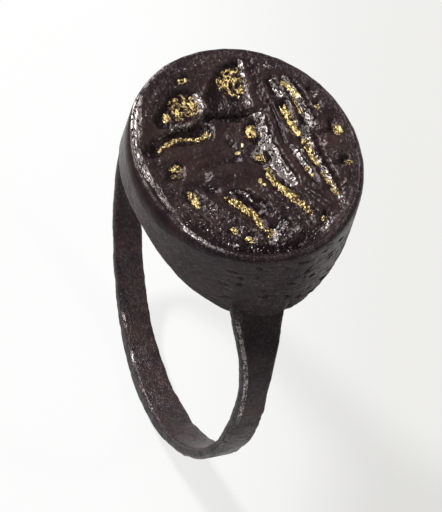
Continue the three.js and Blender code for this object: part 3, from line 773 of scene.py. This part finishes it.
class RingLooks(bpy.types.PropertyGroup):
    """Sizes and colours of the ring that a user would change."""

    relief: bpy.props.FloatProperty(
        name="Relief", description="How deep the sunk design is, as a share of its full depth",
        default=1.0, min=0.2, max=1.3, subtype="FACTOR")
    erosion: bpy.props.FloatProperty(
        name="Erosion", description="How far the hoop and the drum are eaten back, in millimetres",
        default=0.035, min=0, max=0.1)
    leaf: bpy.props.FloatProperty(
        name="Leaf", description="How far the gilding stands over the metal, in millimetres",
        default=0.07, min=0.01, max=0.1)
    patina_dark: colour_prop("Dark patina", "The ring's nearly black skin", (0.023, 0.014, 0.018))
    seal_dark: colour_prop("Seal patina", "The seal's nearly black skin", (0.025, 0.012, 0.013))
    patina_brown: colour_prop("Brown patina", "The browner patches of the skin", (0.057, 0.031, 0.028))
    patina_dust: colour_prop("Dust", "The pale specks in the skin", (0.17, 0.145, 0.135))
    # The deep colour: dark patina in the hollows, and painted shade in grooves, gaps and on shaded sides
    deep_patina_and_shade: colour_prop("Deep patina", "The darkest skin, in the cuts", (0.008, 0.004, 0.006))
    # Bare metal, also painting glints and highlights where the mesh marks them
    wear_and_glint_colour: colour_prop("Bare metal", "Metal worn bright on edges and high places", (0.56, 0.50, 0.475))
    gold_colour: colour_prop("Gilding", "Bright gilding", (1.00, 0.76, 0.34))
    gold_dull: colour_prop("Dull gilding", "Gilding under a brown film", (0.20, 0.115, 0.035))
    filling_light: colour_prop("Filling", "The filling in the drum", (0.35, 0.27, 0.20))
    filling_dark: colour_prop("Dark filling", "Darker grains of the filling", (0.20, 0.15, 0.11))
    bedding_light: colour_prop("Bedding", "The bedding under the seal", (0.54, 0.51, 0.47))
    bedding_dark: colour_prop("Dark bedding", "Darker grains of the bedding", (0.38, 0.35, 0.31))


class StageLooks(bpy.types.PropertyGroup):
    """Floor, lamps and camera."""

    floor_colour: colour_prop("Floor", "Colour of the floor", (0.80, 0.80, 0.79))
    floor_shadow: bpy.props.FloatProperty(
        name="Floor shadow", description="How much of the floor's own shade the camera sees",
        default=0.20, min=0, max=1, subtype="FACTOR")
    key_power: bpy.props.FloatProperty(
        name="Key lamp", description="Power of the lamp on the left", default=0.75, min=0, unit="POWER")
    fill_power: bpy.props.FloatProperty(
        name="Fill lamp", description="Power of the lamp on the right", default=0.10, min=0, unit="POWER")
    sky: bpy.props.FloatProperty(
        name="Soft light", description="Strength of the light from all round", default=0.24, min=0)
    camera_turn: bpy.props.FloatProperty(
        name="Camera turn", description="Angle of the camera round the ring from the front",
        default=math.radians(58.9563), subtype="ANGLE")
    camera_height: bpy.props.FloatProperty(
        name="Camera height", description="Angle of the camera above the floor",
        default=math.radians(55.3223), subtype="ANGLE")
    camera_roll: bpy.props.FloatProperty(
        name="Camera roll", description="Turn of the camera round its own line of sight",
        default=math.radians(15.8946), subtype="ANGLE")
    camera_distance: bpy.props.FloatProperty(
        name="Camera distance", description="Distance from the camera to the middle of the ring",
        default=0.230967, min=0.05, subtype="DISTANCE")


class RING_OT_build_seal(bpy.types.Operator):
    """Builds the seal plate with its sunk design"""

    bl_idname = "ring.build_seal"
    bl_label = "Seal plate"

    def execute(self, context):
        looks = context.scene.ring_looks

        # A square grid drawn out to the oval
        line = np.linspace(-1, 1, SEAL_STEPS + 1)
        one, two = np.meshgrid(line, line, indexing="ij")
        wide = abs(one) > abs(two)
        reach = np.where(wide, one, two)
        least = np.where(wide, two, one)
        turn = math.pi / 4 * least / np.where(abs(reach) < 1e-9, 1, reach)
        across = np.where(wide, reach * np.cos(turn), reach * np.sin(turn))
        along = np.where(wide, reach * np.sin(turn), reach * np.cos(turn))
        places = np.column_stack([
            BEZEL_MIDDLE[0] + across.ravel() * SEAL_HALF[0],
            along.ravel() * SEAL_HALF[1],
        ])
        height, shares, _ = seal_surface(places, looks)
        top = np.column_stack([places, FIELD_HEIGHT + height])
        count = SEAL_STEPS + 1
        border = grid_border(count, count)
        floor = top[border].copy()
        floor[:, 2] = SEAL_BOTTOM
        points = np.vstack([top, floor])
        low = len(top) + np.arange(len(border))
        sides = np.column_stack([border, np.roll(border, -1), np.roll(low, -1), low])
        faces = [*grid_faces(count, count)[:, ::-1], *sides, low[::-1]]
        edge = np.zeros(len(border))
        shares = {key: np.concatenate([values, edge]) for key, values in shares.items()}
        finish = patina_finish("seal patina", looks, looks.seal_dark, brown=0.75, ground=0.6, gloss=0.33)
        add_piece("seal_face", points, faces, shares, finish, "patinated_copper_alloy", "seal_plate")
        return {"FINISHED"}


class RING_OT_build_gilding(bpy.types.Operator):
    """Builds what is left of the gilding, patch by patch"""

    bl_idname = "ring.build_gilding"
    bl_label = "Gilding"

    def execute(self, context):
        looks = context.scene.ring_looks
        finish = gold_finish("worn gilding", looks)
        for node, corners in GILDING.items():
            outline = smooth_outline(corners)

            # Broad patches and the strokes are worn into more holes
            beside = np.roll(outline, -1, axis=0)
            area = abs((outline[:, 0] * beside[:, 1] - outline[:, 1] * beside[:, 0]).sum()) / 2
            holed = eased(area / np.linalg.norm(beside - outline, axis=1).sum(), 0.14, 0.34)
            holed = max(holed, 0.6 * ("stroke" in node))

            low = outline.min(0) - FOIL_MARGIN
            high = outline.max(0) + FOIL_MARGIN
            rows, columns = np.ceil((high - low) / FOIL_STEP).astype(int) + 1
            across = np.linspace(low[0], high[0], rows)
            along = np.linspace(low[1], high[1], columns)
            x, y = np.meshgrid(across, along, indexing="ij")
            places = np.column_stack([x.ravel(), y.ravel()])
            solid = np.column_stack([places, np.zeros(len(places))])
            height, _, seen = seal_surface(places, looks)
            apart = line_distance(seen, outline, True)
            apart = apart + 0.08 * grain.at(solid + 11, 0.30) + 0.06 * grain.at(solid + 12, 0.12)
            lift = np.clip(-apart * 0.7, -0.05, looks.leaf) + 0.015 * grain.at(solid + 13, 0.10)
            lumps = np.abs(grain.layers(solid + 14, 0.44, 2))
            lift -= FOIL_DENT * eased(lumps, 0.62 - 0.35 * holed, 0.80 - 0.36 * holed)
            tops = np.column_stack([places, FIELD_HEIGHT + height + lift])
            floors = np.column_stack([places, FIELD_HEIGHT + height - FOIL_DEEP])

            # Only the cells inside the outline are kept, and a rim closes them all round
            cells = grid_faces(rows, columns)[:, ::-1]
            cells = cells[(apart[cells] < 0.04).any(1)]
            used, flat = np.unique(cells, return_inverse=True)
            cells = flat.reshape(-1, 4)
            edges = {}
            for cell in cells:
                for start, stop in zip(cell, np.roll(cell, -1)):
                    edges[(start, stop)] = True
            rims = [(b, a, a + len(used), b + len(used)) for a, b in edges if (b, a) not in edges]
            points = np.vstack([tops[used], floors[used]])
            faces = [*cells, *(cells[:, ::-1] + len(used)), *rims]
            add_piece(node.replace("gilding", "leaf"), points, faces, {}, finish, "gilding", node)
        return {"FINISHED"}


def drum_oval(inset, cosine, sine):
    """A place on the drum's oval, a distance in from its wall."""
    return BEZEL_MIDDLE[0] + (BEZEL_HALF[0] - inset) * cosine, (BEZEL_HALF[1] - inset) * sine


def bore_top(x, outside=0.0):
    """Height of the bore's roof over a place across the ring, or of a surface outside it."""
    return BORE_HEIGHT + np.sqrt(np.maximum((FINGER_RADIUS + outside) ** 2 - x ** 2, 0))


class RING_OT_build_collar(bpy.types.Operator):
    """Builds the drum's wall and its worn rim"""

    bl_idname = "ring.build_collar"
    bl_label = "Drum wall"

    def execute(self, context):
        looks = context.scene.ring_looks
        turns = np.linspace(0, 2 * math.pi, DRUM_STEPS, endpoint=False)
        around = np.degrees(turns)
        cosine, sine = np.cos(turns), np.sin(turns)
        seal_turn = np.degrees(np.arctan2(cosine, sine))
        none = np.zeros_like(turns)
        # The wall's left side, and the rim's lower stretch, which is painted dark as painted shade
        left = eased(-sine, 0.6, 0.9)
        shaded = eased(-sine, 0.35, 0.75)
        low_shade = between(seal_turn, *LOW_SHADE)
        tilt = RIM_TILT * left
        flare = FLARE * between(around, *FLARED)
        edge_light = between(around, *EDGE_LIT)
        streaked = none
        for middle, start, full, strength in STREAKED:
            patch = eased(np.cos(turns - math.radians(middle)), start, full)
            streaked = np.maximum(streaked, strength * patch)
        lip_inset = BEZEL_HALF[1] - LIP_SHARE * SEAL_HALF[1]
        outer = np.interp(seal_turn, BAND_TURNS, BAND_OUTERS)
        round_deep = np.minimum(BEZEL_HALF[1] * (1 - outer) + ROUND_SPARE, lip_inset - LIP_FLAT)
        round_tall = RIM_ROUND + ROUND_SLOPE * (round_deep - ROUND_MIDDLE)
        rows = []
        marks = []

        def oval(inset):
            return drum_oval(inset, cosine, sine)

        def bore_edge(inset):
            return bore_top(oval(inset)[0])

        def add_row(inset, z, wear_and_glint=none, deep=none, pale=none):
            rows.append((inset, z))
            marks.append((wear_and_glint, deep, pale))

        # The wall, from its ragged foot up
        wall_top = RIM_HEIGHT - round_tall
        ragged = np.column_stack([cosine * 7, sine * 7, none])
        lowest = bore_edge(0) - FOOT_STEP * between(around, *STEPPED) + 0.04 * grain.layers(ragged, 1.1, 3)
        for share in np.linspace(0, 1, WALL_ROWS):
            z = lowest + (wall_top - lowest) * share
            solid = np.column_stack([*oval(0), z])
            drawn_out = np.column_stack([turns * BEZEL_HALF[0], z / 0.2 + turns * 3, none + 3])
            eaten = looks.erosion * (0.3 + 0.5 * grain.layers(solid, 1.3, 3))
            streak = grain.layers(drawn_out, 1.2, 3)
            eaten += streaked * STREAK_DEEP * np.abs(streak)
            pits = eased(grain.at(drawn_out * (1, 0.6, 1) + 40, 0.9), 0.34, 0.55) * streaked
            eaten += PIT_DEEP * pits + 0.008 * grain.at(solid, 0.18)
            eaten += 0.05 * (1 - eased(z - lowest, 0, 0.12))
            near_foot = 1 - eased(z - lowest, 0.05, 0.17)
            pale = streaked * (0.15 + 0.6 * eased(streak, -0.1, 0.5)) * (1 - pits)
            pale = np.maximum(pale, shaded * (0.30 + 0.30 * grain.layers(solid + 21, 0.7, 3)))
            glint = near_foot * edge_light * 0.9
            add_row(np.maximum(eaten, 0) - flare * (1 - share), z, glint, pits, pale)

        # The rounding between the wall and the rim's flat top
        for step in range(1, ROUND_ROWS + 1):
            turn = math.pi / 2 * step / ROUND_ROWS
            inset = round_deep * (1 - math.cos(turn))
            z = wall_top + round_tall * math.sin(turn)
            solid = np.column_stack([*oval(inset), z])
            dent = looks.erosion * 0.6 + 0.02 * grain.layers(solid, 0.9, 3)
            dent = np.maximum(dent, 0)
            low = (dent + tilt) * step / ROUND_ROWS
            wear_and_glint = band_wear_and_highlight(1 - inset / BEZEL_HALF[1], seal_turn)
            # The left of the rounding and the rim's lower stretch are darkened: painted shade
            pale = 0.7 * (1 - np.maximum(left, 0.3 * low_shade))
            add_row(inset + dent, z - low, wear_and_glint, np.maximum(0.3 * left, 0.1 * low_shade), pale)

        # The flat top, down to the lip that meets the seal
        lip_height, _, _ = seal_surface(np.column_stack(oval(lip_inset)), looks)
        lip_height = FIELD_HEIGHT + lip_height + LIP_RISE
        for share in np.linspace(0.06, 1, RIM_ROWS):
            inset = round_deep + (lip_inset - round_deep) * share
            solid = np.column_stack([*oval(inset), none + RIM_HEIGHT])
            dent = RIM_WEAR + 0.022 * grain.layers(solid, 0.4, 3)
            level = RIM_HEIGHT - RIM_WEAR
            z = level + (lip_height - level) * eased(none + share, 0.3, 1.0) - np.maximum(dent, 0)
            z -= tilt * max(1 - share / 0.9, 0)
            # The rim's lower stretch is darkened: painted shade
            pale = 0.5 * (1 - np.maximum(low_shade, left))
            add_row(inset, z, band_wear_and_highlight(1 - inset / BEZEL_HALF[1], seal_turn), 0.4 * low_shade, pale)
        # The lip drops into the gap by the seal and is painted dark: painted shade in the gap
        for out, down in ((0.03, 0.06), (0.05, 0.20), (0.02, 0.42)):
            add_row(lip_inset + out, lip_height - down, none, none + 0.9)

        # The inside of the wall, darkened with painted shade, and its lower edge
        collar_low = bore_edge(COLLAR_THICK)
        for share in (0.0, 0.5, 1.0):
            top = RIM_HEIGHT - WALL_STEP
            add_row(none + COLLAR_THICK, top + (collar_low - top) * share, none, none + 0.5)
        for inset in (0.42, 0.18):
            add_row(none + inset, bore_edge(inset))
        points = np.vstack([np.column_stack([*oval(inset), z]) for inset, z in rows])
        wear_and_glint, deep, pale = (np.concatenate([np.clip(mark[at], 0, 1) for mark in marks]) for at in range(3))
        faces = grid_faces(len(rows), DRUM_STEPS, True)
        last = (len(rows) - 1) * DRUM_STEPS
        here = np.arange(DRUM_STEPS)
        beside = np.roll(here, -1)
        seam = np.column_stack([last + here, last + beside, beside, here])
        shares = {"wear_and_glint": wear_and_glint, "gilt": np.zeros_like(wear_and_glint), "deep": deep, "pale": pale}
        finish = patina_finish(
            "wall patina", looks, looks.patina_dark, brown=0.6, ground=0.35, gloss=0.16, sheen=0.06)
        add_piece(
            "drum_wall", points, [*faces, *seam], shares, finish, "patinated_copper_alloy", "bezel_collar")
        return {"FINISHED"}


def hoop_sizes(turn):
    """The hoop's width and thickness at a share of a half turn up from its lowest point."""
    stations = np.array(HOOP_STATIONS)
    found = []
    for values in (np.array(HOOP_WIDTHS), np.array(HOOP_THICKS)):
        slopes = np.gradient(values, stations)
        slopes[0] = 0
        here = abs(turn)
        at = np.clip(np.searchsorted(stations, here, "right") - 1, 0, len(stations) - 2)
        run = stations[at + 1] - stations[at]
        share = (here - stations[at]) / run
        rest = 1 - share
        found.append(
            values[at] * (1 + 2 * share) * rest ** 2 + slopes[at] * run * share * rest ** 2
            + values[at + 1] * (3 - 2 * share) * share ** 2 - slopes[at + 1] * run * rest * share ** 2)
    return found


def hoop_middle(x, height):
    """Where the hoop's middle line lies along Y."""
    return HOOP_SHIFT + HOOP_LEAN * (height - CROWN_HEIGHT) + HOOP_SLANT * x


class RING_OT_build_hoop(bpy.types.Operator):
    """Builds the forged hoop with its shoulders"""

    bl_idname = "ring.build_hoop"
    bl_label = "Hoop"

    def execute(self, context):
        looks = context.scene.ring_looks
        turns = np.linspace(-HOOP_TURN, HOOP_TURN, HOOP_STEPS + 1)
        none = np.zeros_like(turns)
        width, thick = hoop_sizes(turns)
        width = width + np.interp(turns, HOOP_PLACES, HOOP_SPREADS)
        sway = np.interp(turns, HOOP_PLACES, HOOP_SWAYS)
        middle = thick / 2
        edges = [np.minimum(radius, middle * 0.95) for _, _, radius in HOOP_CORNERS]
        patchy = eased(grain.at(np.column_stack([turns * 31, none, none + 9]), 1.3), -0.4, 0.5)
        far_glints = between(turns, *FAR_GLINT) * (0.5 + 0.5 * patchy)
        near_glints = between(turns, *NEAR_GLINT)
        glints = {INNER_LEFT: far_glints * 0.74, OUTER_LEFT: near_glints * 0.70}
        low_pale = between(turns, *LOW_PALE)
        shade = 0.6 * eased(turns, *NEAR_SHADE)
        rows = []
        marks = []

        # Round the strap's section: each corner, then the outer or the inner face after it
        for which, (out_side, along_side, _) in enumerate(HOOP_CORNERS):
            edge = edges[which]
            crest, reach = (4, 5) if which == INNER_LEFT else (6.5, 3.8)
            for step in range(CORNER_ROWS + 1):
                angle = math.pi / 2 * (which + step / CORNER_ROWS) + math.pi
                out = thick * out_side + edge * (1 - 2 * out_side) + edge * math.cos(angle)
                along = along_side * (width / 2 - edge) + edge * math.sin(angle)
                rows.append((out, along))
                corner = eased(1 - abs(step - crest) / reach, 0, 0.6)
                # The strap's side faces are darkened: painted shade
                side_shade = 0.9 * ((which == INNER_LEFT and step > 5) or (which == OUTER_LEFT and step < 3))
                pale = (0.3 + low_pale * 0.5 * (which in (OUTER_LEFT, OUTER_RIGHT))) * (1 - side_shade)
                deep = np.maximum(shade * (which == OUTER_RIGHT), side_shade)
                marks.append((corner * glints.get(which, none), pale, deep))
            if which in (OUTER_LEFT, INNER_RIGHT):
                outer = which == OUTER_LEFT
                start = along_side * (width / 2 - edge)
                stop = -along_side * (width / 2 - edges[(which + 1) % 4])
                for share in np.linspace(0, 1, FLAT_ROWS)[1:-1]:
                    rows.append((thick * outer, start + (stop - start) * share))
                    glint = far_glints * 0.6 * max(share - 0.55, 0) / 0.45 * (not outer)
                    marks.append((glint, 0.3 + low_pale * 0.7 * outer, shade * outer))

        angle = turns * math.pi
        points = []
        for out, along in rows:
            reach = FINGER_RADIUS + out
            x = reach * np.sin(angle)
            z = BORE_HEIGHT - reach * np.cos(angle)
            solid = np.column_stack([x, along * 1.2, z])
            eaten = looks.erosion * (0.6 + 1.6 * grain.layers(solid + 5, 1.5, 3))
            eaten = np.maximum(eaten + 0.010 * grain.at(solid, 0.2), 0)
            out = out - np.clip((out - middle) / middle, -1, 1) * eaten
            along = along - np.clip(along / width * 2, -1, 1) * eaten
            reach = FINGER_RADIUS + out
            x = reach * np.sin(angle)
            z = BORE_HEIGHT - reach * np.cos(angle)
            points.append(np.column_stack([x, along + sway + hoop_middle(x, z), z]))
        points = np.stack(points, 1).reshape(-1, 3)
        wear_and_glint, pale, deep = (np.stack([mark[at] for mark in marks], 1).ravel() for at in range(3))
        count = len(rows)
        faces = [*grid_faces(HOOP_STEPS + 1, count, True)[:, ::-1]]
        faces.append(np.arange(count))
        faces.append(HOOP_STEPS * count + np.arange(count)[::-1])
        shares = {"wear_and_glint": wear_and_glint, "gilt": wear_and_glint * 0, "deep": deep, "pale": pale}
        finish = patina_finish("hoop patina", looks, looks.patina_dark, brown=0.85, ground=0.9, gloss=0.42)
        add_piece("hoop_strap", points, faces, shares, finish, "patinated_copper_alloy", "hoop")
        return {"FINISHED"}


class RING_OT_build_joints(bpy.types.Operator):
    """Builds the smooth fillet at each shoulder"""

    bl_idname = "ring.build_joints"
    bl_label = "Shoulder joints"

    def execute(self, context):
        looks = context.scene.ring_looks
        finish = patina_finish("joint patina", looks, looks.patina_dark, brown=0.6, ground=0.6, gloss=0.22)
        thick = HOOP_THICKS[-1]
        reach = FINGER_RADIUS + thick
        for side, node in ((1, "shoulder_solder_right"), (-1, "shoulder_solder_left")):
            wall_x = BEZEL_MIDDLE[0] + side * BEZEL_HALF[0]
            middle = hoop_middle(wall_x, bore_top(wall_x, thick))
            tops = []
            lows = []
            for across in np.linspace(-1, 1, JOINT_ACROSS):
                y = middle + across * JOINT_HALF
                out = math.sqrt(max(1 - (y / BEZEL_HALF[1]) ** 2, 0))
                x = BEZEL_MIDDLE[0] + side * BEZEL_HALF[0] * out
                turn = math.acos(abs(x) / reach)
                corner = np.array([abs(x), reach * math.sin(turn)])
                leg = JOINT_LEG * (1 - abs(across) ** 2.5) + JOINT_LEAST
                wall = corner + (-JOINT_SUNK, leg)
                strap_turn = turn - leg / reach
                strap = np.array([math.cos(strap_turn), math.sin(strap_turn)]) * (reach - JOINT_ROOT)
                for share in np.linspace(0, 1, JOINT_DOWN):
                    rest = 1 - share
                    spot = wall * rest ** 2 + 2 * corner * share * rest + strap * share ** 2
                    tops.append((side * spot[0], y, BORE_HEIGHT + spot[1]))
                    inner = wall * rest + strap * share - JOINT_DEEP
                    lows.append((side * inner[0], y, BORE_HEIGHT + inner[1]))
            tops = np.array(tops)
            tops[:, 0] -= side * 0.012 * np.maximum(0, 1 + grain.layers(tops, 0.6, 3))
            points = np.vstack([tops, lows])
            cells = grid_faces(JOINT_ACROSS, JOINT_DOWN)
            if side > 0:
                cells = cells[:, ::-1]
            loop = grid_border(JOINT_ACROSS, JOINT_DOWN)
            ring = np.column_stack([loop, np.roll(loop, -1), np.roll(loop, -1) + len(tops), loop + len(tops)])
            if side < 0:
                ring = ring[:, ::-1]
            faces = [*cells, *(cells[:, ::-1] + len(tops)), *ring]
            shares = no_marks(len(points))
            shares["pale"] = np.tile(np.linspace(0.4, 0.3, JOINT_DOWN), 2 * JOINT_ACROSS)
            add_piece(node.replace("solder", "joint"), points, faces, shares, finish, "solder", node)
        return {"FINISHED"}


class RING_OT_build_base(bpy.types.Operator):
    """Builds the curved sheet that closes the drum over the finger"""

    bl_idname = "ring.build_base"
    bl_label = "Base plate"

    def execute(self, context):
        looks = context.scene.ring_looks
        turns = np.linspace(0, 2 * math.pi, BASE_TURNS, endpoint=False)
        sheets = []
        for outside in (0, BASE_THICK):
            rings = [[(BEZEL_MIDDLE[0], 0, bore_top(BEZEL_MIDDLE[0], outside))]]
            for share in np.linspace(0, 1, BASE_RINGS + 1)[1:]:
                x, y = drum_oval(DRUM_INSET, share * np.cos(turns), share * np.sin(turns))
                z = bore_top(x, outside)
                dent = 0.02 + 0.025 * grain.layers(np.column_stack([x, y, z]), 1.6, 3) if outside == 0 else 0
                rings.append(np.column_stack([x, y, z + np.maximum(dent, 0)]))
            sheets.append(np.vstack(rings))
        count = len(sheets[0])
        points = np.vstack(sheets)
        faces = []
        here = np.arange(BASE_TURNS)
        beside = np.roll(here, -1)
        for sheet, flips in ((0, True), (1, False)):
            base = sheet * count
            fan = np.column_stack([np.full(BASE_TURNS, base), base + 1 + here, base + 1 + beside])
            cells = base + 1 + grid_faces(BASE_RINGS, BASE_TURNS, True)
            faces += [*(fan[:, ::-1] if flips else fan), *(cells if flips else cells[:, ::-1])]
        edge = 1 + (BASE_RINGS - 1) * BASE_TURNS
        faces += [*np.column_stack([edge + here, edge + beside, count + edge + beside, count + edge + here])]
        finish = patina_finish("base patina", looks, looks.patina_dark, brown=0.6, ground=0.6, gloss=0.4)
        shares = no_marks(len(points))
        add_piece("drum_base", points, faces, shares, finish, "patinated_copper_alloy", "bezel_base_plate")
        return {"FINISHED"}


class RING_OT_finish_inside(bpy.types.Operator):
    """Gives the drum's filling and the seal's bedding their finishes"""

    bl_idname = "ring.finish_inside"
    bl_label = "Filling and bedding"

    def execute(self, context):
        looks = context.scene.ring_looks
        filling = matt_finish("drum filling", looks.filling_light, looks.filling_dark)
        bedding = matt_finish("seal bedding", looks.bedding_light, looks.bedding_dark)
        for node, finish in (("bezel_core", filling), ("seal_bedding", bedding)):
            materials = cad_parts[node].data.materials
            materials.clear()
            materials.append(finish)
        return {"FINISHED"}


def set_down(thing, side, up, back, spot):
    """Puts a camera or a lamp at a spot, turned to look against back."""
    place = np.eye(4)
    place[:3] = np.column_stack([side, up, back, spot])
    thing.matrix_world = Matrix(place.tolist())


class RING_OT_build_stage(bpy.types.Operator):
    """Sets the floor, the lamps and the camera"""

    bl_idname = "ring.build_stage"
    bl_label = "Stage"

    def execute(self, context):
        scene = context.scene
        stage = scene.ring_stage
        turn, lift, roll = stage.camera_turn, stage.camera_height, stage.camera_roll
        back = np.array([
            math.sin(turn) * math.cos(lift), -math.cos(turn) * math.cos(lift), math.sin(lift)])
        level = np.array([math.cos(turn), math.sin(turn), 0])
        above = np.cross(back, level)
        right = math.cos(roll) * level + math.sin(roll) * above
        up = -math.sin(roll) * level + math.cos(roll) * above

        mesh = bpy.data.meshes.new("floor")
        corners = [(x * FLOOR_HALF, y * FLOOR_HALF, 0) for x, y in ((-1, -1), (1, -1), (1, 1), (-1, 1))]
        mesh.from_pydata(corners, [], [(0, 1, 2, 3)])
        floor = bpy.data.objects.new("floor", mesh)
        scene.collection.objects.link(floor)
        made = Finish("floor")
        seen = Amount(made, made.node("ShaderNodeLightPath").outputs["Is Camera Ray"])
        plain = made.node("ShaderNodeBsdfDiffuse", None, {"Color": (*stage.floor_colour, 1)})
        places = [made.places, tuple(right)]
        rightward = made.node("ShaderNodeVectorMath", {"operation": "DOT_PRODUCT"}, places)
        # The backdrop turns darker towards the picture's right: a painted shadow of the ring
        shaded = Amount(made, rightward.outputs["Value"]).above(*BACKDROP_SHADE_FADE)
        backdrop = made.mix(shaded, (1, 1, 1), BACKDROP_SHADE)
        glow = made.node("ShaderNodeEmission", None, {"Color": backdrop, "Strength": 1.0})
        share = seen * (1 - stage.floor_shadow)
        mixed = made.node("ShaderNodeMixShader", None, [share, plain.outputs[0], glow.outputs[0]])
        made.node("ShaderNodeOutputMaterial", None, {"Surface": mixed.outputs[0]})
        mesh.materials.append(made.material)

        world = bpy.data.worlds.new("soft light")
        scene.world = world
        world.use_nodes = True
        world.node_tree.nodes["Background"].inputs["Color"].default_value = (1, 1, 1, 1)
        world.node_tree.nodes["Background"].inputs["Strength"].default_value = stage.sky

        lens = bpy.data.cameras.new("camera")
        lens.lens = CAMERA_LENS
        lens.sensor_width = CAMERA_SENSOR
        lens.shift_x, lens.shift_y = CAMERA_SHIFT
        lens.clip_start = CAMERA_NEAREST
        camera = bpy.data.objects.new("camera", lens)
        scene.collection.objects.link(camera)
        set_down(camera, right, up, back, TARGET + stage.camera_distance * back)
        scene.camera = camera

        lamps = (
            ("key", stage.key_power, KEY_TOWARD, KEY_AWAY),
            ("fill", stage.fill_power, FILL_TOWARD, FILL_AWAY),
        )
        for name, power, shares, away in lamps:
            light = bpy.data.lights.new(name, "AREA")
            light.energy = power
            light.shape = "DISK"
            light.size = LAMP_WIDTH
            lamp = bpy.data.objects.new(name, light)
            scene.collection.objects.link(lamp)
            toward = shares[0] * right + shares[1] * up + shares[2] * back
            toward = toward / np.linalg.norm(toward)
            side = np.cross((0.1, 0.2, 1), toward)
            side = side / np.linalg.norm(side)
            set_down(lamp, side, np.cross(toward, side), toward, TARGET + away * toward)

        scene.view_settings.view_transform = "Standard"
        return {"FINISHED"}


STEPS = (
    RING_OT_build_stage,
    RING_OT_build_seal,
    RING_OT_build_gilding,
    RING_OT_build_collar,
    RING_OT_build_hoop,
    RING_OT_build_joints,
    RING_OT_build_base,
    RING_OT_finish_inside,
)


class RING_PT_panel(bpy.types.Panel):
    """Lists the ring's pieces and their sizes and colours."""

    bl_label = "Ring"
    bl_idname = "RING_PT_panel"
    bl_space_type = "VIEW_3D"
    bl_region_type = "UI"
    bl_category = "Ring"

    def draw(self, context):
        for group in (context.scene.ring_looks, context.scene.ring_stage):
            for key in group.bl_rna.properties.keys():
                if key not in ("rna_type", "name"):
                    self.layout.prop(group, key)
        for step in STEPS:
            self.layout.operator(step.bl_idname)


CLASSES = (RingLooks, StageLooks, *STEPS, RING_PT_panel)


def register():
    for kind in CLASSES:
        bpy.utils.register_class(kind)
    bpy.types.Scene.ring_looks = bpy.props.PointerProperty(type=RingLooks)
    bpy.types.Scene.ring_stage = bpy.props.PointerProperty(type=StageLooks)


def unregister():
    del bpy.types.Scene.ring_stage
    del bpy.types.Scene.ring_looks
    for kind in reversed(CLASSES):
        bpy.utils.unregister_class(kind)


def main():
    register()
    bpy.ops.ring.build_stage()
    bpy.ops.ring.build_seal()
    bpy.ops.ring.build_gilding()
    bpy.ops.ring.build_collar()
    bpy.ops.ring.build_hoop()
    bpy.ops.ring.build_joints()
    bpy.ops.ring.build_base()
    bpy.ops.ring.finish_inside()


if __name__ == "__main__":
    main()
